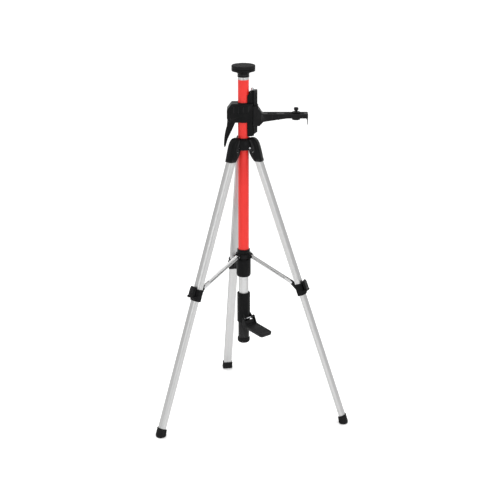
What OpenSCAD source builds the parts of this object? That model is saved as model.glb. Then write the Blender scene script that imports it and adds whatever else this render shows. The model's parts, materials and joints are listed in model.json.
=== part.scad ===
// Telescopic support pole on a folding tripod, with a clamp and bracket that carry a laser instrument.
// Millimetres, +Z up. The pole stands on the Z axis, the feet rest on Z = 0, the bracket points along +X.
// Each leg is drawn in its own frame: X outward from the leg axis, Y across it, Z up along it.

/* [Pole] */
// Outside diameter of the upper pole tube
pole_od = 30; // [29.9:0.05:30.05]
// Wall of the upper pole tube
pole_wall = 1.3; // [1.1:0.1:1.3]
// Height of the top end of the upper pole tube
pole_top = 966; // [960:1:972]
// Height of the bottom end of the upper pole tube
pole_bottom = 436; // [434:1:438]
// Outside diameter of the lower pole tube
inner_od = 27; // [26.8:0.1:27]
// Height of the pole foot's underside above the floor
foot_gap = 207; // [203:1:210]

/* [Ceiling pad] */
// Diameter of the spring-loaded ceiling pad
pad_d = 63.6; // [58:0.2:66]
// Thickness of the rubber disc on the pad
rubber_t = 9; // [6:1:10]
// Number of turns of the pad spring
spring_turns = 8; // [6:1:9]

/* [Legs] */
// Angle of the back leg about the pole
leg_turn = 100; // [98:1:102]
// Lean of each leg from the vertical
splay = 19.2; // [19:0.1:19.4]
// Width of the upper leg section across the leg
leg_w = 24.5; // [24:0.1:25]
// Wall of the upper leg section
leg_wall = 1.4; // [1.2:0.1:1.4]
// Length of the leg collar
collar_len = 34; // [32:1:35]

/* [Spreader] */
// Height of the strut pins in the spreader hub
hub_pin_z = 467; // [466:0.5:468]
// Width of the strut channel
strut_w = 10; // [9.6:0.1:10.2]

/* [Clamp and bracket] */
// Height of the underside of the clamp
clamp_z = 852; // [851:1:856]
// Height of the clamp
clamp_h = 52; // [50:1:54]
// Top face of the bracket arm
arm_z = 875; // [873:1:877]
// Width of the bracket arm
arm_w = 30; // [28:1:32]
// Distance of the laser stud from the pole axis
stud_x = 143.3; // [130:0.1:150]
// Major diameter of the stud thread
stud_d = 9.52; // [9.4:0.02:9.52]

/* [Pedal] */
// Angle of the pedal about the pole
pedal_turn = -47; // [-50:1:-44]
// Width of the pedal plate
pedal_w = 42; // [42:1:46]

/* [Hidden] */
$fn = 72;
fit = 0.05;
gap = 0.3;
black = [0.09, 0.09, 0.10];
rubber = [0.13, 0.13, 0.13];
red = [0.86, 0.20, 0.17];
silver = [0.80, 0.80, 0.80];
steel = [0.62, 0.63, 0.65];
nylon = [0.90, 0.90, 0.86];

pole_r = pole_od / 2;
pole_in = pole_r - pole_wall;
inner_r = inner_od / 2;

// Head and leg geometry. The leg axis lies leg_off outside the pivot pin.
pivot_r = 24;
pivot_z = 782;
leg_off = 9;
pin_r = 2.5;
dome_r = 29;
head_bottom = 776;
head_top = 807;
pocket_w = 25;
pocket_r = 16.2;
tongue_w = 24;
tongue_r = 7;
shell_wall = 3;
shell_bottom = -50;
shell_low = 742;
tube_top = -12;
foot_w = -(pivot_z + leg_off * sin(splay)) / cos(splay);
collar_top = -402.5;
collar_bottom = collar_top - collar_len;
upper_end = collar_bottom + 12;
lower_top = -352;
lower_end = foot_w + 11;
lower_inset = leg_wall + 0.25;
lower_wall = 1.2;
boot_wall = 3.5;
boot_h = 26;
tab_x = -21.5;
tab_z = collar_top + 8;
tab_t = 4;
flip_x = 15;
flip_z = collar_bottom + 9;
flip_w = 19.6;

// Spreader
hub_r = 18;
hub_pin_r = 22.5;
hub_low = hub_pin_z - 7.4;
hub_high = hub_pin_z + 20;
strut_t = 1.2;
ear_r = 4;
web_gap = 20;
strut_pin_r = 2;
tab_r = pivot_r + (leg_off + tab_x) * cos(splay) - tab_z * sin(splay);
tab_h = pivot_z + (leg_off + tab_x) * sin(splay) + tab_z * cos(splay);
strut_len = norm([tab_r - hub_pin_r, hub_pin_z - tab_h]);
strut_drop = atan2(hub_pin_z - tab_h, tab_r - hub_pin_r);

// Twist lock and the pole's lower end
lock_bottom = 405;
lock_top = 459;
lock_r = 20.2;
collet_r = 16.2;
inner_top = 700;
sleeve_top = 357;
sleeve_bottom = 274;
sleeve_r = 18.4;
shoulder_z = 318;
jack_r = 15.4;
jack_wall = 2;
jack_top = 302;
pedal_pin_z = 285;
pedal_pin_r = 20;
pedal_tip = 94.6;

// Ceiling pad
pad_top = 1007;
skirt_z = pole_top + 6;
stem_r = 5;
stem_low = 931.5;
plug_low = 936;
seat_z = 871.5;
spring_r = 9;
spring_wire = 0.8;

// Clamp, rail and bracket
liner_r = pole_r + 0.9;
clamp_bore = pole_r + 1;
clamp_d = 42;
lever_x = -35;
lever_z = clamp_z + 10;
rail_x = pole_r + 1.2;
rail_step = 29;
rail_out = 38;
rail_low = 812.5;
rail_high = 938;
screw_x = 24.5;
screw_r = 3;
carriage_low = 842;
carriage_high = 897;
arm_end = 175.6;
arm_low = 862.5;
flange_r = 11.3;
flange_t = 3.4;
knob_low = 856.5;
stud_top = 892.5;

LEGS = [1, 2, 3];

// ---- Helpers ----

function leg_angle(i) = leg_turn + 120 * (i - 1);

// Ring between two heights
module ring(r_out, r_in, z0, z1) {
    rotate_extrude() translate([r_in, z0]) square([r_out - r_in, z1 - z0]);
}

// Plate cut to an outline in the X-Z plane, centred on Y
module plate(width) {
    rotate([90, 0, 0]) linear_extrude(width, center = true) children();
}

// Shaft along Y through the point (x, z)
module cross_pin(x, z, r, length) {
    translate([x, 0, z]) rotate([90, 0, 0]) cylinder(r = r, h = length, center = true);
}

// Two mirrored copies either side of the X-Z plane
module both_sides() {
    for (side = [0, 1]) mirror([0, side, 0]) children();
}

// Leg frame of leg i
module in_leg(i) {
    rotate([0, 0, leg_angle(i)]) translate([pivot_r, 0, pivot_z]) rotate([0, -splay, 0])
        translate([leg_off, 0, 0]) children();
}

// D-shaped leg section, shrunk on every side by inset
module leg_section(inset) {
    intersection() {
        translate([-7, 0]) circle(r = 15.5 - inset, $fn = 96);
        translate([-7.5 + inset, -leg_w / 2 + inset]) square([17, leg_w - 2 * inset]);
    }
}

module leg_bar(inset, z0, z1) {
    translate([0, 0, z0]) linear_extrude(z1 - z0) leg_section(inset);
}

// Frame of strut i: X along the strut from its hub pin
module in_strut(i) {
    rotate([0, 0, leg_angle(i)]) translate([hub_pin_r, 0, hub_pin_z]) rotate([0, strut_drop, 0]) children();
}

// Coil of round wire about the Z axis
module coil(mean_r, wire_r, z0, z1, turns) {
    steps = 16;
    sides = 6;
    rings = turns * steps;
    points = [for (k = [0:rings], s = [0:sides - 1])
        let (turn = 360 * k / steps, around = 360 * s / sides, r = mean_r + wire_r * cos(around))
        [r * cos(turn), r * sin(turn), z0 + (z1 - z0) * k / rings + wire_r * sin(around)]];
    walls = [for (k = [0:rings - 1], s = [0:sides - 1])
        let (a = k * sides + s, b = k * sides + (s + 1) % sides) [a, a + sides, b + sides, b]];
    start = [[for (s = [0:sides - 1]) s]];
    end = [[for (s = [sides - 1:-1:0]) rings * sides + s]];
    polyhedron(points, concat(walls, start, end));
}

// ---- Pole ----

module pole_tube() {
    color(red) ring(pole_r, pole_in, pole_bottom, pole_top);
}

// Machined end of the pole that guides the pad's stem
module pole_top_plug() {
    color(silver) difference() {
        union() {
            ring(pole_in, stem_r + fit, plug_low, pole_top);
            ring(pole_r - 0.25, stem_r + fit, pole_top, skirt_z);
        }
        translate([-0.8, -pole_r, pole_top + 1]) cube([1.6, 3, 6]);
    }
}

module spring_seat() {
    color(steel) ring(pole_in, 6, seat_z - 5.5, seat_z);
}

// Split collet that grips the lower pole tube
module pole_collet() {
    slots = 4;
    color(nylon) difference() {
        ring(collet_r, inner_r + fit, lock_bottom + 6, pole_bottom);
        for (k = [0:slots - 1]) rotate([0, 0, 45 + 360 * k / slots])
            translate([0, -0.75, lock_bottom + 5]) cube([20, 1.5, 22]);
    }
}

module twist_lock() {
    flutes = 12;
    wide = collet_r + 0.4;
    color(black) difference() {
        rotate_extrude() polygon([[inner_r + 0.2, lock_bottom], [lock_r - 2, lock_bottom], [lock_r, lock_bottom + 4],
            [lock_r, lock_top - 1.5], [lock_r - 1, lock_top], [pole_r + fit, lock_top],
            [pole_r + fit, pole_bottom + 0.3], [wide, pole_bottom + 0.3],
            [wide, lock_bottom + 5], [inner_r + 0.2, lock_bottom + 5]]);
        for (k = [0:flutes - 1]) rotate([0, 0, 360 * k / flutes])
            translate([lock_r + 0.5, 0, lock_bottom + 7]) cylinder(r = 1.2, h = 44, $fn = 24);
    }
}

// ---- Ceiling pad ----

module pad_cup() {
    rim = pad_d / 2;
    hollow = pole_r + 0.4;
    color(black) rotate_extrude() polygon([[hollow, skirt_z], [hollow + 0.85, skirt_z],
        [hollow + 0.85, skirt_z + 12], [17.5, skirt_z + 15], [20.5, skirt_z + 17.5], [rim - 1.8, skirt_z + 19],
        [rim, skirt_z + 20.5], [rim, pad_top - rubber_t - 0.6], [rim - 0.6, pad_top - rubber_t],
        [stem_r, pad_top - rubber_t], [stem_r, skirt_z + 17], [hollow, skirt_z + 17]]);
}

module pad_rubber() {
    rim = pad_d / 2;
    low = pad_top - rubber_t;
    color(rubber) rotate_extrude() polygon([[0, low], [rim - 0.6, low], [rim, low + 0.6],
        [rim, pad_top - 3], [rim - 0.8, pad_top - 0.9], [rim - 2.4, pad_top], [0, pad_top]]);
}

module pad_stem() {
    color(steel) {
        translate([0, 0, stem_low]) cylinder(r = 11.8, h = 4.2);
        translate([0, 0, stem_low + 4.2]) cylinder(r = stem_r, h = pad_top - rubber_t - stem_low - 4.2);
    }
}

module pad_spring() {
    color(steel) coil(spring_r, spring_wire, seat_z + spring_wire, stem_low - spring_wire, spring_turns);
}

// ---- Tripod head ----

module head_screw_shape(r) {
    rotate([0, 90, 0]) {
        translate([0, 0, pole_r]) cylinder(r = r, h = 13, $fn = 32);
        translate([0, 0, dome_r - 2]) cylinder(r = r + 1.8, h = 4, $fn = 32);
    }
}

module head_screw_places() {
    for (turn = [leg_angle(1) - 60, leg_angle(1) + 60]) rotate([0, 0, turn])
        translate([0, 0, pivot_z]) children();
}

module head_body() {
    arc = [for (a = [0:10:80]) [17.5 + 11.5 * cos(a), head_top - 20 + 19 * sin(a)]];
    color(black) difference() {
        rotate_extrude() polygon(concat([[pole_r, head_bottom], [dome_r - 2, head_bottom],
            [dome_r, head_bottom + 2]], arc, [[17.5, head_top], [pole_r, head_top]]));
        for (i = LEGS) rotate([0, 0, leg_angle(i)]) {
            translate([pocket_r, -pocket_w / 2, head_bottom - 1]) cube([20, pocket_w, 40]);
            cross_pin(pivot_r, pivot_z, pin_r, 60);
        }
        head_screw_places() head_screw_shape(2);
    }
}

module head_screws() {
    color(steel) intersection() {
        head_screw_places() head_screw_shape(2);
        translate([0, 0, head_bottom]) cylinder(r = dome_r - 0.3, h = 30);
    }
}

module leg_pins() {
    reach = 2 * sqrt(dome_r * dome_r - pivot_r * pivot_r);
    color(steel) for (i = LEGS) rotate([0, 0, leg_angle(i)]) cross_pin(pivot_r, pivot_z, pin_r, reach);
}

// ---- Legs ----

// Rounded cap over the top of a leg, with the tongue that turns on the head's pin
module leg_shell(i) {
    crown_r = 22;
    color(black) difference() {
        in_leg(i) difference() {
            union() {
                intersection() {
                    union() {
                        leg_bar(-shell_wall, shell_bottom, 32);
                        translate([-14, -tongue_w / 2, 0]) cube([8, tongue_w, 30]);
                    }
                    union() {
                        translate([-30, -20, -60]) cube([60, 40, 65]);
                        cross_pin(-4, 5, crown_r, 40);
                    }
                }
                cross_pin(-leg_off, 0, tongue_r, tongue_w);
            }
            cross_pin(-leg_off, 0, pin_r + fit, 60);
            leg_bar(0, shell_bottom - 1, tube_top);
            both_sides() translate([-40, tongue_w / 2, tube_top - 1]) cube([37.7, 10, 60]);
        }
        rotate([0, 0, leg_angle(i)]) translate([0, -30, pivot_z - 10]) cube([pocket_r + 0.5, 60, 60]);
        translate([-100, -100, shell_low - 40]) cube([200, 200, 40]);
    }
}

module leg_upper_tube(i) {
    color(silver) in_leg(i) difference() {
        leg_bar(0, upper_end, tube_top);
        leg_bar(leg_wall, upper_end - 1, tube_top + 1);
    }
}

// Collar at the end of the upper section: strut tab inside, ears for the flip lever outside
module leg_collar(i) {
    ear_in = flip_w / 2 + 0.3;
    color(black) in_leg(i) difference() {
        union() {
            leg_bar(-shell_wall, collar_bottom, collar_top);
            plate(tab_t) polygon([[-9, collar_top], [-9, collar_bottom + 10], [-12, collar_bottom + 10],
                [tab_x - 4.4, tab_z - 2.4], [tab_x + 3, tab_z + 4]]);
            cross_pin(tab_x, tab_z, 5, tab_t);
            both_sides() translate([0, ear_in + 1.8, 0]) {
                plate(3.6) translate([5, flip_z - ear_r]) square([flip_x - 5, 2 * ear_r]);
                cross_pin(flip_x, flip_z, ear_r, 3.6);
            }
        }
        leg_bar(0, upper_end, collar_top + 1);
        leg_bar(lower_inset - gap, collar_bottom - 1, upper_end + 1);
        cross_pin(flip_x, flip_z, 2 + fit, 60);
        cross_pin(tab_x, tab_z, strut_pin_r + fit, 20);
    }
}

// Over-centre lever that clamps the lower section
module flip_lever(i) {
    top = collar_top + 5;
    color(black) in_leg(i) union() {
        plate(flip_w) polygon([[flip_x - 2.6, flip_z - 2], [flip_x + 3, flip_z - 2.6], [flip_x + 4.6, flip_z + 8],
            [flip_x + 4.2, top - 6], [flip_x + 1.4, top], [flip_x - 0.6, top], [flip_x - 2.6, top - 8]]);
        cross_pin(flip_x, flip_z, 2, flip_w + 7);
    }
}

module leg_lower_tube(i) {
    color(silver) in_leg(i) difference() {
        leg_bar(lower_inset, lower_end, lower_top);
        leg_bar(lower_inset + lower_wall, lower_end - 1, lower_top + 1);
    }
}

// Guide plug in the top of the lower section
module leg_bush(i) {
    color(nylon) in_leg(i) {
        leg_bar(leg_wall + 0.2, lower_top, lower_top + 8);
        leg_bar(lower_inset + lower_wall, lower_top - 14, lower_top);
    }
}

module leg_foot(i) {
    color(rubber) intersection() {
        in_leg(i) difference() {
            leg_bar(lower_inset - boot_wall, foot_w - 20, foot_w + boot_h);
            leg_bar(lower_inset, lower_end, foot_w + boot_h + 1);
        }
        translate([-500, -500, 0]) cube([1000, 1000, 60]);
    }
}

// ---- Spreader ----

module hub() {
    cheek_in = strut_w / 2 + 0.3;
    cheek_t = 3.2;
    color(black) {
        ring(hub_r, pole_r + fit, hub_low, hub_high);
        ring(21.5, hub_r - 1, hub_pin_z + 5.2, hub_pin_z + 8.4);
        for (i = LEGS) rotate([0, 0, leg_angle(i)]) difference() {
            union() both_sides() translate([0, cheek_in + cheek_t / 2, 0]) {
                cross_pin(hub_pin_r, hub_pin_z, 4.8, cheek_t);
                plate(cheek_t) translate([14.8, hub_pin_z - 4.8]) square([hub_pin_r - 14.8, 13.2]);
            }
            cylinder(r = pole_r + 1.5, h = 1000);
            cross_pin(hub_pin_r, hub_pin_z, strut_pin_r, 60);
        }
    }
}

module hub_pins() {
    color(steel) for (i = LEGS) rotate([0, 0, leg_angle(i)])
        cross_pin(hub_pin_r, hub_pin_z, strut_pin_r, strut_w + 7);
}

// Pressed channel strut: two flanges with rounded ends and a web on top
module strut(i) {
    flange_y = strut_w / 2 - strut_t / 2;
    color(silver) in_strut(i) difference() {
        union() {
            both_sides() translate([0, flange_y, 0]) {
                plate(strut_t) translate([0, -ear_r]) square([strut_len, 2 * ear_r]);
                cross_pin(0, 0, ear_r, strut_t);
                cross_pin(strut_len, 0, ear_r, strut_t);
            }
            translate([0, -strut_w / 2, ear_r - strut_t]) cube([strut_len - web_gap, strut_w, strut_t]);
        }
        cross_pin(0, 0, strut_pin_r + fit, 40);
        cross_pin(strut_len, 0, strut_pin_r, 40);
    }
}

// The rivet's two ends, one in each flange
module strut_rivet(i) {
    shank = strut_w / 2 - tab_t / 2 - 0.3;
    color(steel) in_strut(i) both_sides() {
        translate([0, tab_t / 2 + 0.3 + shank / 2, 0]) cross_pin(strut_len, 0, strut_pin_r, shank);
        translate([0, strut_w / 2 + 0.5, 0]) cross_pin(strut_len, 0, 3.2, 1);
    }
}

// ---- Lower pole, jack and pedal ----

module inner_tube() {
    color(silver) ring(inner_r, inner_r - 1.2, shoulder_z, inner_top);
}

module inner_bush() {
    color(nylon) {
        ring(pole_in - fit, 8, inner_top, inner_top + 10);
        ring(inner_r - 1.2, 8, inner_top - 18, inner_top);
    }
}

module in_pedal() {
    rotate([0, 0, pedal_turn]) children();
}

// Black sleeve at the foot of the lower tube, with two lugs for the pedal
module jack_sleeve() {
    lug_t = 4;
    color(black) {
        difference() {
            rotate_extrude() polygon([[jack_r + fit, sleeve_bottom], [sleeve_r, sleeve_bottom],
                [sleeve_r, sleeve_top - 2], [sleeve_r - 0.8, sleeve_top], [inner_r, sleeve_top],
                [inner_r, shoulder_z], [jack_r + fit, shoulder_z]]);
            in_pedal() cross_pin(pedal_pin_r, pedal_pin_z, 2, 60);
        }
        in_pedal() difference() {
            both_sides() translate([0, 12, 0]) {
                plate(lug_t) translate([14.8, pedal_pin_z - 4.5]) square([pedal_pin_r - 14.8, 9]);
                cross_pin(pedal_pin_r, pedal_pin_z, 4.5, lug_t);
            }
            translate([0, 0, sleeve_bottom]) cylinder(r = sleeve_r - 1, h = 60);
            cross_pin(pedal_pin_r, pedal_pin_z, 2, 60);
        }
    }
}

module pedal_pin() {
    color(steel) in_pedal() cross_pin(pedal_pin_r, pedal_pin_z, 2, pedal_w - 1);
}

module jack_tube() {
    color(black) ring(jack_r, jack_r - jack_wall, foot_gap + 7, jack_top);
}

module pole_foot() {
    color(rubber) rotate_extrude() polygon([[0, foot_gap], [12, foot_gap], [16.2, foot_gap + 2.4],
        [17.6, foot_gap + 6.2], [17.6, foot_gap + 12], [jack_r + 0.8, foot_gap + 15.5], [jack_r, foot_gap + 15.5],
        [jack_r, foot_gap + 7], [0, foot_gap + 7]]);
}

// Foot pedal that drives the jack
module pedal() {
    root = 26;
    root_z = 269.5;
    tip_z = 259.5;
    side_t = 3;
    color(black) in_pedal() difference() {
        union() {
            plate(pedal_w) polygon([[root, root_z], [pedal_tip, tip_z], [pedal_tip, tip_z - 9.5],
                [pedal_tip - 4, tip_z - 9.5], [pedal_tip - 4, tip_z - 3.2], [root, root_z - 4.5]]);
            both_sides() translate([0, pedal_w / 2 - side_t / 2, 0]) {
                plate(side_t) polygon([[root - 8, root_z - 2], [root - 10.5, pedal_pin_z], [root - 2, pedal_pin_z + 3],
                    [root + 5, root_z - 0.5], [pedal_tip, tip_z], [pedal_tip, tip_z - 9.5], [root + 4, root_z - 9]]);
                cross_pin(pedal_pin_r, pedal_pin_z, 5, side_t);
            }
        }
        cross_pin(pedal_pin_r, pedal_pin_z, 2 + fit, 80);
    }
}

// ---- Clamp, rail and bracket ----

module clamp_liner() {
    color(nylon) ring(liner_r, pole_r + fit, clamp_z - 1.5, clamp_z + clamp_h + 1.5);
}

module clamp_body() {
    top = clamp_z + clamp_h;
    face = 25.5;
    color(black) difference() {
        plate(clamp_d) polygon([[-33, top], [-45, top - 16], [-45, clamp_z + 10], [-39, clamp_z],
            [face, clamp_z], [face, top]]);
        translate([0, 0, clamp_z - 1]) cylinder(r = clamp_bore, h = clamp_h + 2);
        translate([rail_x, -8, clamp_z - 1]) cube([20, 16, clamp_h + 2]);
        translate([-50, -1, clamp_z - 1]) cube([40, 2, clamp_h + 2]);
        translate([-50, -8.8, clamp_z - 1]) cube([26, 17.6, 22.5]);
        cross_pin(lever_x, lever_z, pin_r, 80);
        rail_screw_shapes();
    }
}

module lever_pin() {
    color(steel) cross_pin(lever_x, lever_z, pin_r, clamp_d - 1);
}

// Cam lever with a long curved blade
module cam_lever() {
    blade = [[lever_x - 8.4, lever_z], [-45.6, 836], [-50.2, 819], [-52.6, 802.5], [-53.6, 787], [-52.6, 781],
        [-50.4, 780], [-48.4, 784], [-44.2, 802.5], [-38, 819], [-31, 836], [lever_x + 8.3, lever_z - 1]];
    color(black) difference() {
        union() {
            plate(16) polygon(blade);
            cross_pin(lever_x, lever_z, 8.5, 17);
        }
        cross_pin(lever_x, lever_z, pin_r + fit, 40);
    }
}

// T-shaped rail, slotted for the drive nut
module rail() {
    color(black) difference() {
        union() {
            plate(16) polygon([[rail_x, rail_low], [rail_x, 926], [21, rail_high], [rail_step + 1, rail_high],
                [rail_step + 1, rail_low]]);
            plate(25) polygon([[rail_step, 818], [rail_step, rail_high], [rail_out, rail_high], [rail_out, 825]]);
        }
        translate([20.3, -4.2, 814]) cube([30, 8.4, rail_high - 8 - 814]);
        translate([screw_x, 0, 900]) cylinder(r = screw_r + fit, h = 60);
        rail_screw_shapes();
    }
}

// Two screws that hold the rail in the clamp
module rail_screw_shapes() {
    for (z = [clamp_z + 10, clamp_z + clamp_h - 10]) translate([rail_x + 2.1, 0, z]) rotate([-90, 0, 0]) {
        translate([0, 0, -12]) cylinder(r = 1.5, h = 32, $fn = 32);
        translate([0, 0, clamp_d / 2 - 2]) cylinder(r = 2.6, h = 4, $fn = 32);
    }
}

module rail_screws() {
    color(steel) intersection() {
        rail_screw_shapes();
        translate([0, 0, clamp_z]) cube([80, clamp_d, 2 * clamp_h], center = true);
    }
}

module height_screw() {
    color(steel) union() {
        translate([screw_x, 0, 816]) cylinder(r = screw_r, h = rail_high + 0.3 - 816);
        translate([screw_x, 0, rail_high + 0.3]) cylinder(r = 4.2, h = 5);
        translate([screw_x, 0, rail_high + 5.3]) cylinder(r1 = 4.2, r2 = 2.6, h = 1.6);
    }
}

// Carriage, wedge and arm in one casting, with a guard blade at the end
module bracket_arm() {
    mid = 118;
    color(black) difference() {
        union() {
            plate(36) polygon([[26, carriage_low], [26, carriage_high], [40.5, carriage_high], [40.5, carriage_high - 6],
                [46, carriage_high - 14], [46, carriage_low]]);
            plate(arm_w) polygon([[44, carriage_low], [44, carriage_high - 10], [50.6, arm_z + 1.5], [52, arm_z],
                [arm_end, arm_z], [arm_end, arm_low], [mid, arm_low], [54, 853], [48.5, 846]]);
            plate(12) polygon([[170, arm_low + 1], [arm_end, arm_low + 1], [arm_end, 844], [174, 843.5]]);
        }
        translate([20, -8.2, carriage_low - 1]) cube([rail_step - 0.2 - 20, 16.4, 60]);
        translate([rail_step - 0.2, -12.7, carriage_low - 1]) cube([rail_out + 0.4 - rail_step, 25.4, 60]);
        translate([66, -5.2, arm_low - 20]) cube([24, 10.4, 60]);
        translate([112, -5.2, arm_low - 10]) cube([53, 10.4, 40]);
    }
}

// Brass nut that the height screw drives
module drive_nut() {
    color("goldenrod") difference() {
        translate([20.6, -4, 858]) cube([rail_out + 0.2 - 20.6, 8, 24]);
        translate([screw_x, 0, 850]) cylinder(r = screw_r + fit, h = 40);
    }
}

module stud_flange() {
    color(black) translate([stud_x, 0, 0]) ring(flange_r, 4.1, arm_z, arm_z + flange_t);
}

module laser_stud() {
    neck = 4;
    color(black) translate([stud_x, 0, 0]) rotate_extrude() polygon([[0, knob_low], [neck, knob_low],
        [neck, arm_z + 5.5], [stud_d / 2, arm_z + 6.3], [stud_d / 2, stud_top - 1.2], [stud_d / 2 - 1.2, stud_top],
        [0, stud_top]]);
}

module stud_knob() {
    color(black) translate([stud_x, 0, 0]) ring(flange_r, 4, knob_low, arm_low - 0.2);
}

// ---- Assembly ----

pole_tube();
pole_top_plug();
spring_seat();
head_body();
head_screws();
leg_pins();
pole_collet();
twist_lock();
pad_cup();
pad_rubber();
pad_stem();
pad_spring();
for (i = LEGS) {
    leg_shell(i);
    leg_upper_tube(i);
    leg_collar(i);
    flip_lever(i);
    leg_lower_tube(i);
    leg_bush(i);
    leg_foot(i);
    strut(i);
    strut_rivet(i);
}
hub();
hub_pins();
inner_tube();
inner_bush();
jack_sleeve();
pedal_pin();
jack_tube();
pole_foot();
pedal();
clamp_liner();
clamp_body();
rail();
rail_screws();
lever_pin();
cam_lever();
height_screw();
bracket_arm();
drive_nut();
stud_flange();
laser_stud();
stud_knob();
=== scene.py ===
import json
import math

import bmesh
import bpy
from mathutils import Matrix, Vector


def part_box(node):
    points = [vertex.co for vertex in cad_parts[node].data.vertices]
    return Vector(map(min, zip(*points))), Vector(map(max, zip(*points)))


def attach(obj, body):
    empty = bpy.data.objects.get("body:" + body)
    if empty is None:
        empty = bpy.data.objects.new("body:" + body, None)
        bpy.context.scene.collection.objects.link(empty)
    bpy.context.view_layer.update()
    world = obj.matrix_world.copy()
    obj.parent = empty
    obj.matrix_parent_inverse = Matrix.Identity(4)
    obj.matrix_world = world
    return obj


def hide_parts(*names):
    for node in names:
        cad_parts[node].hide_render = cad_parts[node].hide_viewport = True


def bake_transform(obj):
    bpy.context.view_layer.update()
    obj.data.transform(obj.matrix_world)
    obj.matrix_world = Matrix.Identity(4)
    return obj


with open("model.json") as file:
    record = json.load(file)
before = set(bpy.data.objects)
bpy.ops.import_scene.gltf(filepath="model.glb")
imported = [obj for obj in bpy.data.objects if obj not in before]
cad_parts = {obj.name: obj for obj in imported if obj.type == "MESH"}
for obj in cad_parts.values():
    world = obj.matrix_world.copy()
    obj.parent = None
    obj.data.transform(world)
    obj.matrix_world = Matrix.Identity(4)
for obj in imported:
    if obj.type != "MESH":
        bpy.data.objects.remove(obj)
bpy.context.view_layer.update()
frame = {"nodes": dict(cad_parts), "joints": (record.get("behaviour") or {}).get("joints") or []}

MM = 0.001
nodes = frame["nodes"]
joints = {j["name"]: j for j in frame["joints"]}
LEGS = (1, 2, 3)


def low(node):
    """Lowest corner of a CAD node, in millimetres."""
    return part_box(node)[0] / MM


def high(node):
    """Highest corner of a CAD node, in millimetres."""
    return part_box(node)[1] / MM


# ---- Frames, all in millimetres ----

def axes_frame(origin, x, y, z):
    """Matrix whose columns are the three axes, at that origin."""
    m = Matrix((x, y, z)).transposed().to_4x4()
    m.translation = origin
    return m


def leg_frame(i):
    """X outward from the leg's axis, Y across it, Z up along it. Its origin is beside the pivot pin."""
    pivot = Vector(joints[f"leg_fold_{i}"]["pos_m"]) / MM
    across = Vector(joints[f"leg_fold_{i}"]["axis"]).normalized()
    along = Vector(joints[f"lower_leg_slide_{i}"]["axis"]).normalized()
    outward = across.cross(along)
    return axes_frame(pivot + LEG_OFF * outward, outward, across, along)


def radial_frame(i):
    """X away from the pole on leg i's side, Z up, with the origin on the pole's axis at floor height."""
    across = Vector(joints[f"leg_fold_{i}"]["axis"]).normalized()
    up = Vector((0, 0, 1))
    return axes_frame(Vector((0, 0, 0)), across.cross(up), across, up)


def strut_frame(i):
    """X along the strut from its hub pin, Y across it."""
    pin = Vector(joints[f"strut_swing_{i}"]["pos_m"]) / MM
    across = Vector(joints[f"strut_swing_{i}"]["axis"]).normalized()
    collar_tab = leg_frame(i) @ Vector((TAB_X, 0, TAB_W))
    along = (collar_tab - pin).normalized()
    return axes_frame(pin, along, across, along.cross(across)), (collar_tab - pin).length


def pedal_frame():
    """X away from the pole along the pedal, Z up."""
    across = -Vector(joints["pedal_lift"]["axis"]).normalized()
    up = Vector((0, 0, 1))
    return axes_frame(Vector((0, 0, 0)), across.cross(up), across, up)


# ---- Sizes in millimetres. W is measured up the leg from its pivot pin, X outward from its axis ----

LEG_OFF = 9.0
LEG_HALF = 12.25
LEG_ARC_R = 15.5
LEG_ARC_X = -7.0
LEG_FLAT_X = -7.5
LOWER_INSET = 1.65
UPPER_FULL = 0.9
LOWER_FULL = 1.3
SPLAY = math.acos(joints["lower_leg_slide_1"]["axis"][2])
PIVOT = Vector(joints["leg_fold_1"]["pos_m"]) / MM
PIVOT_R = math.hypot(PIVOT.x, PIVOT.y)
PIVOT_Z = PIVOT.z
FOOT_W = -(PIVOT_Z + LEG_OFF * math.sin(SPLAY)) / math.cos(SPLAY)
COLLAR_TOP = -402.5
COLLAR_BOTTOM = COLLAR_TOP - 34
TAB_X = -21.5
TAB_W = COLLAR_TOP + 8
FLIP_X = 15.0
FLIP_W = COLLAR_BOTTOM + 9
SIXTH_TURN = Matrix.Rotation(math.radians(60), 4, "Z")
POLE_R = high("pole_tube").x
INNER_R = high("inner_tube").x
SLEEVE_R = -low("jack_sleeve").x
JACK_R = high("jack_tube").x
LOCK_R = 0.5 * (high("twist_lock").x - low("twist_lock").x)
BOOT_H = 26.0
PEDAL_PIN_R = 20.0
PEDAL_PIN_Z = low("pedal_pin").z + 2
RAIL_STEP = 29.0
RAIL_SCREW_X = 24.5
HOOD_LOW = 745.5
LOCK_LIFT = 1.9
RIM_GROW = 0.5
POLE_LIFT = 1.8
NECK_LIFT = 3.0


# ---- Outlines ----

def arc(cx, cy, r, start, end, steps):
    """Points on a circle from one angle to another, in degrees."""
    turns = [math.radians(start + (end - start) * k / steps) for k in range(steps + 1)]
    return [(cx + r * math.cos(a), cy + r * math.sin(a)) for a in turns]


def box_outline(x0, x1, y0, y1):
    return [(x0, y0), (x1, y0), (x1, y1), (x0, y1)]


def fillet(points, radius, steps=4):
    """Closed outline with its corners rounded. radius is one number, or one for each corner."""
    radii = radius if isinstance(radius, (list, tuple)) else [radius] * len(points)
    out = []
    for k, p in enumerate(points):
        p = Vector(p)
        before = Vector(points[k - 1]) - p
        after = Vector(points[(k + 1) % len(points)]) - p
        half = before.angle(after) / 2
        cut = min(radii[k] / max(math.tan(half), 1e-6), before.length * 0.48, after.length * 0.48)
        if cut < 0.01:
            out.append(tuple(p))
            continue
        a, b = p + before.normalized() * cut, p + after.normalized() * cut
        for s in range(steps + 1):
            t = s / steps
            q = a * (1 - t) ** 2 + p * 2 * t * (1 - t) + b * t * t
            out.append(tuple(q))
    return out


def counter_clockwise(points):
    """The outline in the order that add_prism and inset need."""
    area = sum(p[0] * q[1] - q[0] * p[1] for p, q in zip(points, points[1:] + points[:1]))
    return list(points) if area > 0 else list(reversed(points))


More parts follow.
